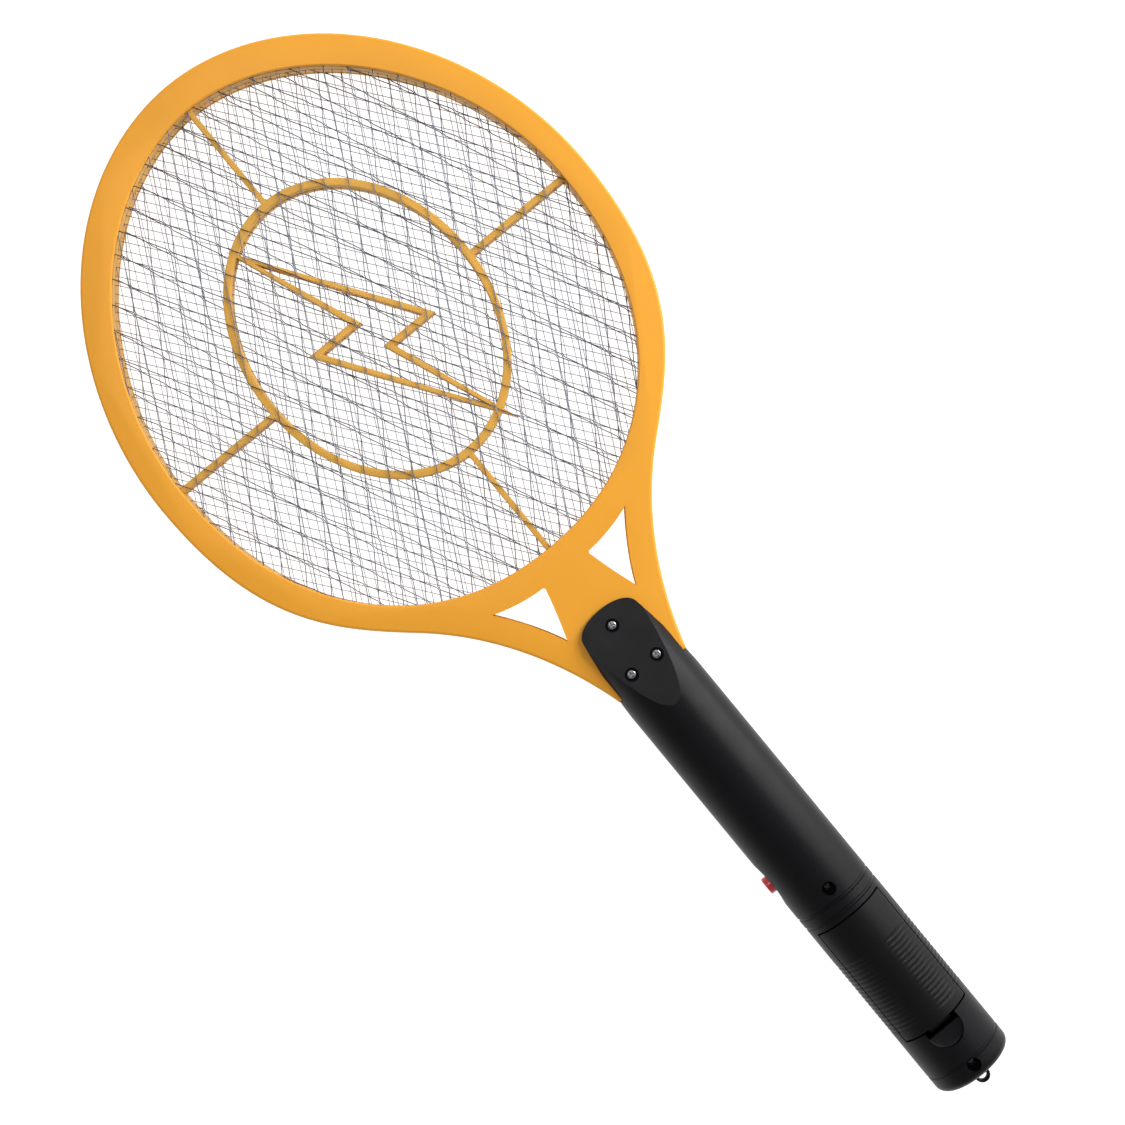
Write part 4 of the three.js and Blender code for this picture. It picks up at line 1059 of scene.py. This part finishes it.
def battery_door():
    low, high = DOOR_BOTTOM, DOOR_TOP - DOOR_GAPS[0]
    half = DOOR_HALF_WIDTH
    inner = RADIUS - HANDLE_WALL
    plan = slab("plan", lambda g: rounded_box(-half, half, low, high, 0.5), [(0, 2), (0, FAR)])
    body = keep(skin("door"), plan)
    cut(body, turned("hollow", rod(inner, low - 2, high + 2), around=AROUND))
    under = inner - HOOK_DROP
    tabs = []
    for x in (-HOOK_AT, HOOK_AT):
        tabs.append(block("root", (x - 2, high - 4, under), (x + 2, high - 1.6, inner + 0.4)))
        tabs.append(block("hook", (x - 1.95, high - 3.9, under + 0.05),
                          (x + 1.95, high + TAB_REACH, under + 1.6)))
    latch = inner - LATCH_DROP
    top = latch + LATCH_THICKNESS
    tabs.append(block("web", (-LATCH_HALF_WIDTH, low + 0.6, latch), (LATCH_HALF_WIDTH, low + 3, RADIUS - 1)))
    nose = [(low - TAB_REACH, latch), (low + 2.9, latch), (low + 2.9, top), (low + 0.2, top),
            (low - TAB_REACH, latch + 0.15)]
    half_nose = LATCH_HALF_WIDTH - 0.05
    tabs.append(loft("tab", [[(x, y, z) for y, z in nose] for x in (-half_nose, half_nose)]))
    return join(body, *tabs)


# ---- small parts ----
def push_button():
    """Cap with a soft edge and a slightly hollow finger face, on its flange inside the handle."""
    radius, reach = BUTTON_RADIUS, BUTTON_REACH
    outer = BUTTON_HIGH.x / MM - BUTTON_FLANGE_THICKNESS
    profile = [(0, -reach + 0.25)]
    profile += [(radius * k / 8, -reach + 0.25 * (1 - (k / 7) ** 2)) for k in range(1, 7)]
    profile += [(radius - 0.6 + 0.6 * sine, -reach + 0.6 - 0.6 * cosine) for sine, cosine in quarter_turn(6)]
    wide, inner = radius + BUTTON_FLANGE, outer + BUTTON_FLANGE_THICKNESS
    profile += [(radius, outer), (wide, outer), (wide, inner), (0, inner)]
    return turned("button", profile, (0, BUTTON_AT, 0), "x", 72)


def screw(name, x, y, depth, end):
    """Pan-head screw with a tapered cross recess and a turned thread."""
    top = screw_top(y, depth)
    head = [(0, top - 1.4), (SCREW_HEAD, top - 1.4), (SCREW_HEAD, top - SCREW_CROWN)]
    head += [(SCREW_HEAD - 1.1 * (1 - cosine), top - SCREW_CROWN + 0.95 * sine)
             for sine, cosine in quarter_turn(8, 1)]
    head += [(0.6, top), (0, top)]
    body = turned(name, head, (x, y, 0), "z", 56)
    thread = [(0, end), (0.35, end + 0.15)]
    z = end + 0.7
    while z < top - 1.6:
        thread += [(0.95, z), (1.25, z + 0.3), (0.95, z + 0.6)]
        z += 0.8
    thread += [(0.95, top - 1.2), (0, top - 1.2)]
    join(body, turned("thread", thread, (x, y, 0), "z", 24))
    arms = []
    for turn in (0, 1):
        wide, thin = (1.5, 0.42), (0.7, 0.25)
        rings = []
        for (a, b), z in ((thin, top - 1.1), (wide, top + 0.05), (wide, top + 1)):
            if turn:
                a, b = b, a
            rings.append([(x - a, y - b, z), (x + a, y - b, z), (x + a, y + b, z), (x - a, y + b, z)])
        arms.append(loft("arm", rings))
    return cut(body, *arms)


def cell_piece(name, node, facing):
    """AA cell: steel can with a crimped end and a nub; the sleeve's edge shows as a fine step."""
    low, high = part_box(node)
    x = (low.x + high.x) / 2 / MM
    radius = (high.x - low.x) / 2 / MM
    start, end = along(low.y), along(high.y)
    tip = end if facing > 0 else start
    z = above((low.z + high.z) / 2)
    length = end - start
    profile = [(0, 0), (2.3, 0), (2.7, 0.3), (2.7, 1.2), (3.6, 1.3), (5.9, 1.3), (6.3, 1.5), (6.5, 1.75),
               (6.8, 1.8), (radius, 2.1), (radius, length - 0.9), (6.8, length - 0.5),
               (6.3, length - 0.45), (5.9, length - 0.2), (5.6, length), (0, length)]
    return turned(name, [(r, tip - facing * y) for r, y in profile], (x, 0, z), "y", 72)


def cell_look(name, tip_y, facing):
    """Sleeve colours by the place along the cell: copper-coloured band, dark body and bare steel ends."""
    look = Look(name, 0.3, Metallic=0.75, Coat_Weight=0.4)
    split = look.node("SeparateXYZ")
    look.links.new(look.place, split.inputs["Vector"])
    band = look.node("MapRange", **{"From Min": tip_y, "From Max": tip_y - facing * CELL_LENGTH * MM})
    look.links.new(split.outputs["Y"], band.inputs["Value"])
    ramp = look.ramp(band.outputs["Result"], [(0.0, (0.6, 0.6, 0.6)), (0.04, (0.55, 0.25, 0.08)),
                                              (0.3, (0.03, 0.03, 0.035)), (0.982, (0.6, 0.6, 0.6))])
    look.nodes[-1].color_ramp.interpolation = "CONSTANT"
    look.links.new(ramp, look.shader.inputs["Base Color"])
    look.rough(look.noise(2.0, 3.0), 0.22, 0.38)
    look.bump((look.noise(3.0, 2.0), 0.01))
    return look.material


def led_piece():
    """Round lamp with a domed lens and two legs."""
    low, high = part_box("indicator_led")
    y = along((low.y + high.y) / 2)
    radius = (high.x - low.x) / 2 / MM
    tip, base = above(low.z), above(high.z) - 5
    dome = [(radius * sine, tip + radius * (1 - cosine)) for sine, cosine in quarter_turn(8, 1)]
    profile = [(0, tip), *dome, (radius, base), (0, base)]
    lens = turned("indicator_lens", profile, (0, y, 0), "z", 40)
    legs = [block("leg", (x - 0.25, y - 0.25, base - 0.5), (x + 0.25, y + 0.25, above(high.z)))
            for x in (-0.8, 0.8)]
    return join(lens, *legs)


# ---- assembly ----
def build_head():
    rear = frame_half("head_frame_rear")
    front = flipped(rear, "head_frame_front")
    finish_piece(rear, MATERIALS["orange"], node="frame_rear_half")
    finish_piece(front, MATERIALS["orange"], node="frame_front_half")
    spacer = spacer_piece("grid_spacer_rear")
    other = placed("grid_spacer_front", spacer.data.copy())
    for vertex in other.data.vertices:
        vertex.co.z = 2 * AXIS_Z - vertex.co.z
    face_outwards(other)
    # The spacers take the duller copy of the orange: painted shade of the grids over them.
    finish_piece(spacer, MATERIALS["grid_shaded_orange"], node="spacer_rear")
    finish_piece(other, MATERIALS["grid_shaded_orange"], node="spacer_front")
    grids = ((coarse_grid("mesh_rear", "rear", COARSE_MIDDLE), "rear_grid", "wire"),
             (coarse_grid("mesh_front", "front", -COARSE_MIDDLE), "front_grid", "wire"),
             (fine_grid("mesh_center"), "center_grid", "fine_wire"))
    for obj, node, look in grids:
        finish_piece(obj, MATERIALS[look], node=node, degrees=60)


def build_handle():
    finish_piece(rear_shell(), MATERIALS["black"], node="handle_rear_shell")
    finish_piece(front_shell(), MATERIALS["black"], node="handle_front_shell")
    finish_piece(battery_door(), MATERIALS["door"], "door", "battery_door")
    finish_piece(push_button(), MATERIALS["red"], "button", "push_button", 25)
    for i, (x, y) in enumerate(NECK_SCREWS, 1):
        node = f"neck_screw_{i}"
        end = above(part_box(node)[0].z)
        piece = screw(f"cross_screw_{i}", x, y, NECK_SCREW_DEPTH, end)
        finish_piece(piece, MATERIALS["screw"], node=node)
    # The grip and butt screws take the darkened steel: painted shade of their deep bores.
    for name, (x, y) in zip(("grip_screw", "butt_screw"), GRIP_SCREWS):
        end = above(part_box(name)[0].z)
        piece = screw(f"cross_{name}", x, y, GRIP_SCREW_DEPTH, end)
        finish_piece(piece, MATERIALS["bore_shaded_screw"], node=name)
    finish_piece(led_piece(), MATERIALS["lens"], node="indicator_led")
    for node, facing in (("cell_left", 1), ("cell_right", -1)):
        low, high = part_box(node)
        look = cell_look(f"{node}_sleeve", high.y if facing > 0 else low.y, facing)
        finish_piece(cell_piece(f"{node}_can", node, facing), look, node=node)


def dress_inner_nodes():
    """Materials of the CAD pieces that stay as they are, inside the handle."""
    looks = {"switch_body": "switch", "switch_plunger": "switch", "circuit_board": "board",
             "transformer_core": "ferrite", "transformer_coil": "copper", "film_capacitor": "film",
             "disc_capacitor": "ceramic", "rectifier_diode": "resin", "transistor": "resin",
             "resistor": "ceramic", "contact": "contact", "spring": "contact", "battery_lead_red": "red_wire",
             "battery_lead_black": "black_wire", "grid_lead_center": "red_wire", "grid_lead": "black_wire"}
    for name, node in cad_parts.items():
        if node.hide_render:
            continue
        look = next(looks[key] for key in looks if name.startswith(key))
        node.data.materials.clear()
        node.data.materials.append(MATERIALS[look])


def build_floor():
    """White floor just under the swatter."""
    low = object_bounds()[0]
    reach = FLOOR_REACH
    floor_mesh = bpy.data.meshes.new("floor")
    floor_mesh.from_pydata([(-reach, -reach, 0), (reach, -reach, 0), (reach, reach, 0), (-reach, reach, 0)],
                           [], [(0, 1, 2, 3)])
    floor = placed("floor", floor_mesh)
    floor.location.z = low.z - FLOOR_DROP
    look = Look("floor_white", 0.8, Emission_Color=(1, 1, 1, 1), Emission_Strength=FLOOR_GLOW,
                Specular_IOR_Level=0.1)
    dark, pale = FLOOR_GREYS
    look.colour(look.noise(300, 2.0), [(0.3, (dark, dark, dark)), (0.7, (pale, pale, pale))])
    floor.data.materials.append(look.material)
    floor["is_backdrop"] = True


def build_world():
    """White world, brightest underneath and to the right, and dimmest overhead."""
    world = bpy.data.worlds.new("studio")
    bpy.context.scene.world = world
    world.use_nodes = True
    nodes, links = world.node_tree.nodes, world.node_tree.links
    background = nodes["Background"]
    background.inputs["Color"].default_value = (1, 1, 1, 1)
    direction = nodes.new("ShaderNodeTexCoord").outputs["Generated"]
    share = nodes.new("ShaderNodeVectorMath")
    share.operation = "DOT_PRODUCT"
    share.inputs[1].default_value = BRIGHTEST_SKY.normalized()
    strength = nodes.new("ShaderNodeMapRange")
    weakest, strongest = SKY_STRENGTHS
    for socket, value in (("From Min", -1), ("From Max", 1), ("To Min", weakest), ("To Max", strongest)):
        strength.inputs[socket].default_value = value
    links.new(direction, share.inputs[0])
    links.new(share.outputs["Value"], strength.inputs["Value"])
    links.new(strength.outputs["Result"], background.inputs["Strength"])


def build_stage():
    """Floor, world and two soft studio lights."""
    build_floor()
    build_world()
    bpy.context.scene.view_settings.view_transform = "Standard"
    softbox("side", (1.05, -0.05, 0.5), (0, -0.05, 0), (0.5, 1.4), 19)
    softbox("neck", (0.0, 0.62, 1.5), (0, 0, 0), (0.5, 0.5), 5)


def softbox(name, place, target, size, power):
    light = bpy.data.lights.new(name, "AREA")
    light.shape = "RECTANGLE"
    light.size, light.size_y = size
    light.energy = power
    obj = placed(name, light)
    obj.location = place
    obj.rotation_euler = (Vector(target) - Vector(place)).to_track_quat("-Z", "Y").to_euler()


def build_camera():
    """Straight down on the door side, turned so that the head points to the upper left."""
    data = bpy.data.cameras.new("camera")
    data.sensor_width = SENSOR_WIDTH
    data.lens = CAMERA_LENS
    data.clip_end = 50
    camera = placed("camera", data)
    camera.location = CAMERA_PLACE
    camera.rotation_euler = (0, 0, CAMERA_TURN)
    bpy.context.scene.camera = camera


build_head()
build_handle()
dress_inner_nodes()
build_stage()
build_camera()

boxes = {"cad": CAD_BOUNDS, "visual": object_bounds()}
{key: [list(corner) for corner in box] for key, box in boxes.items()}
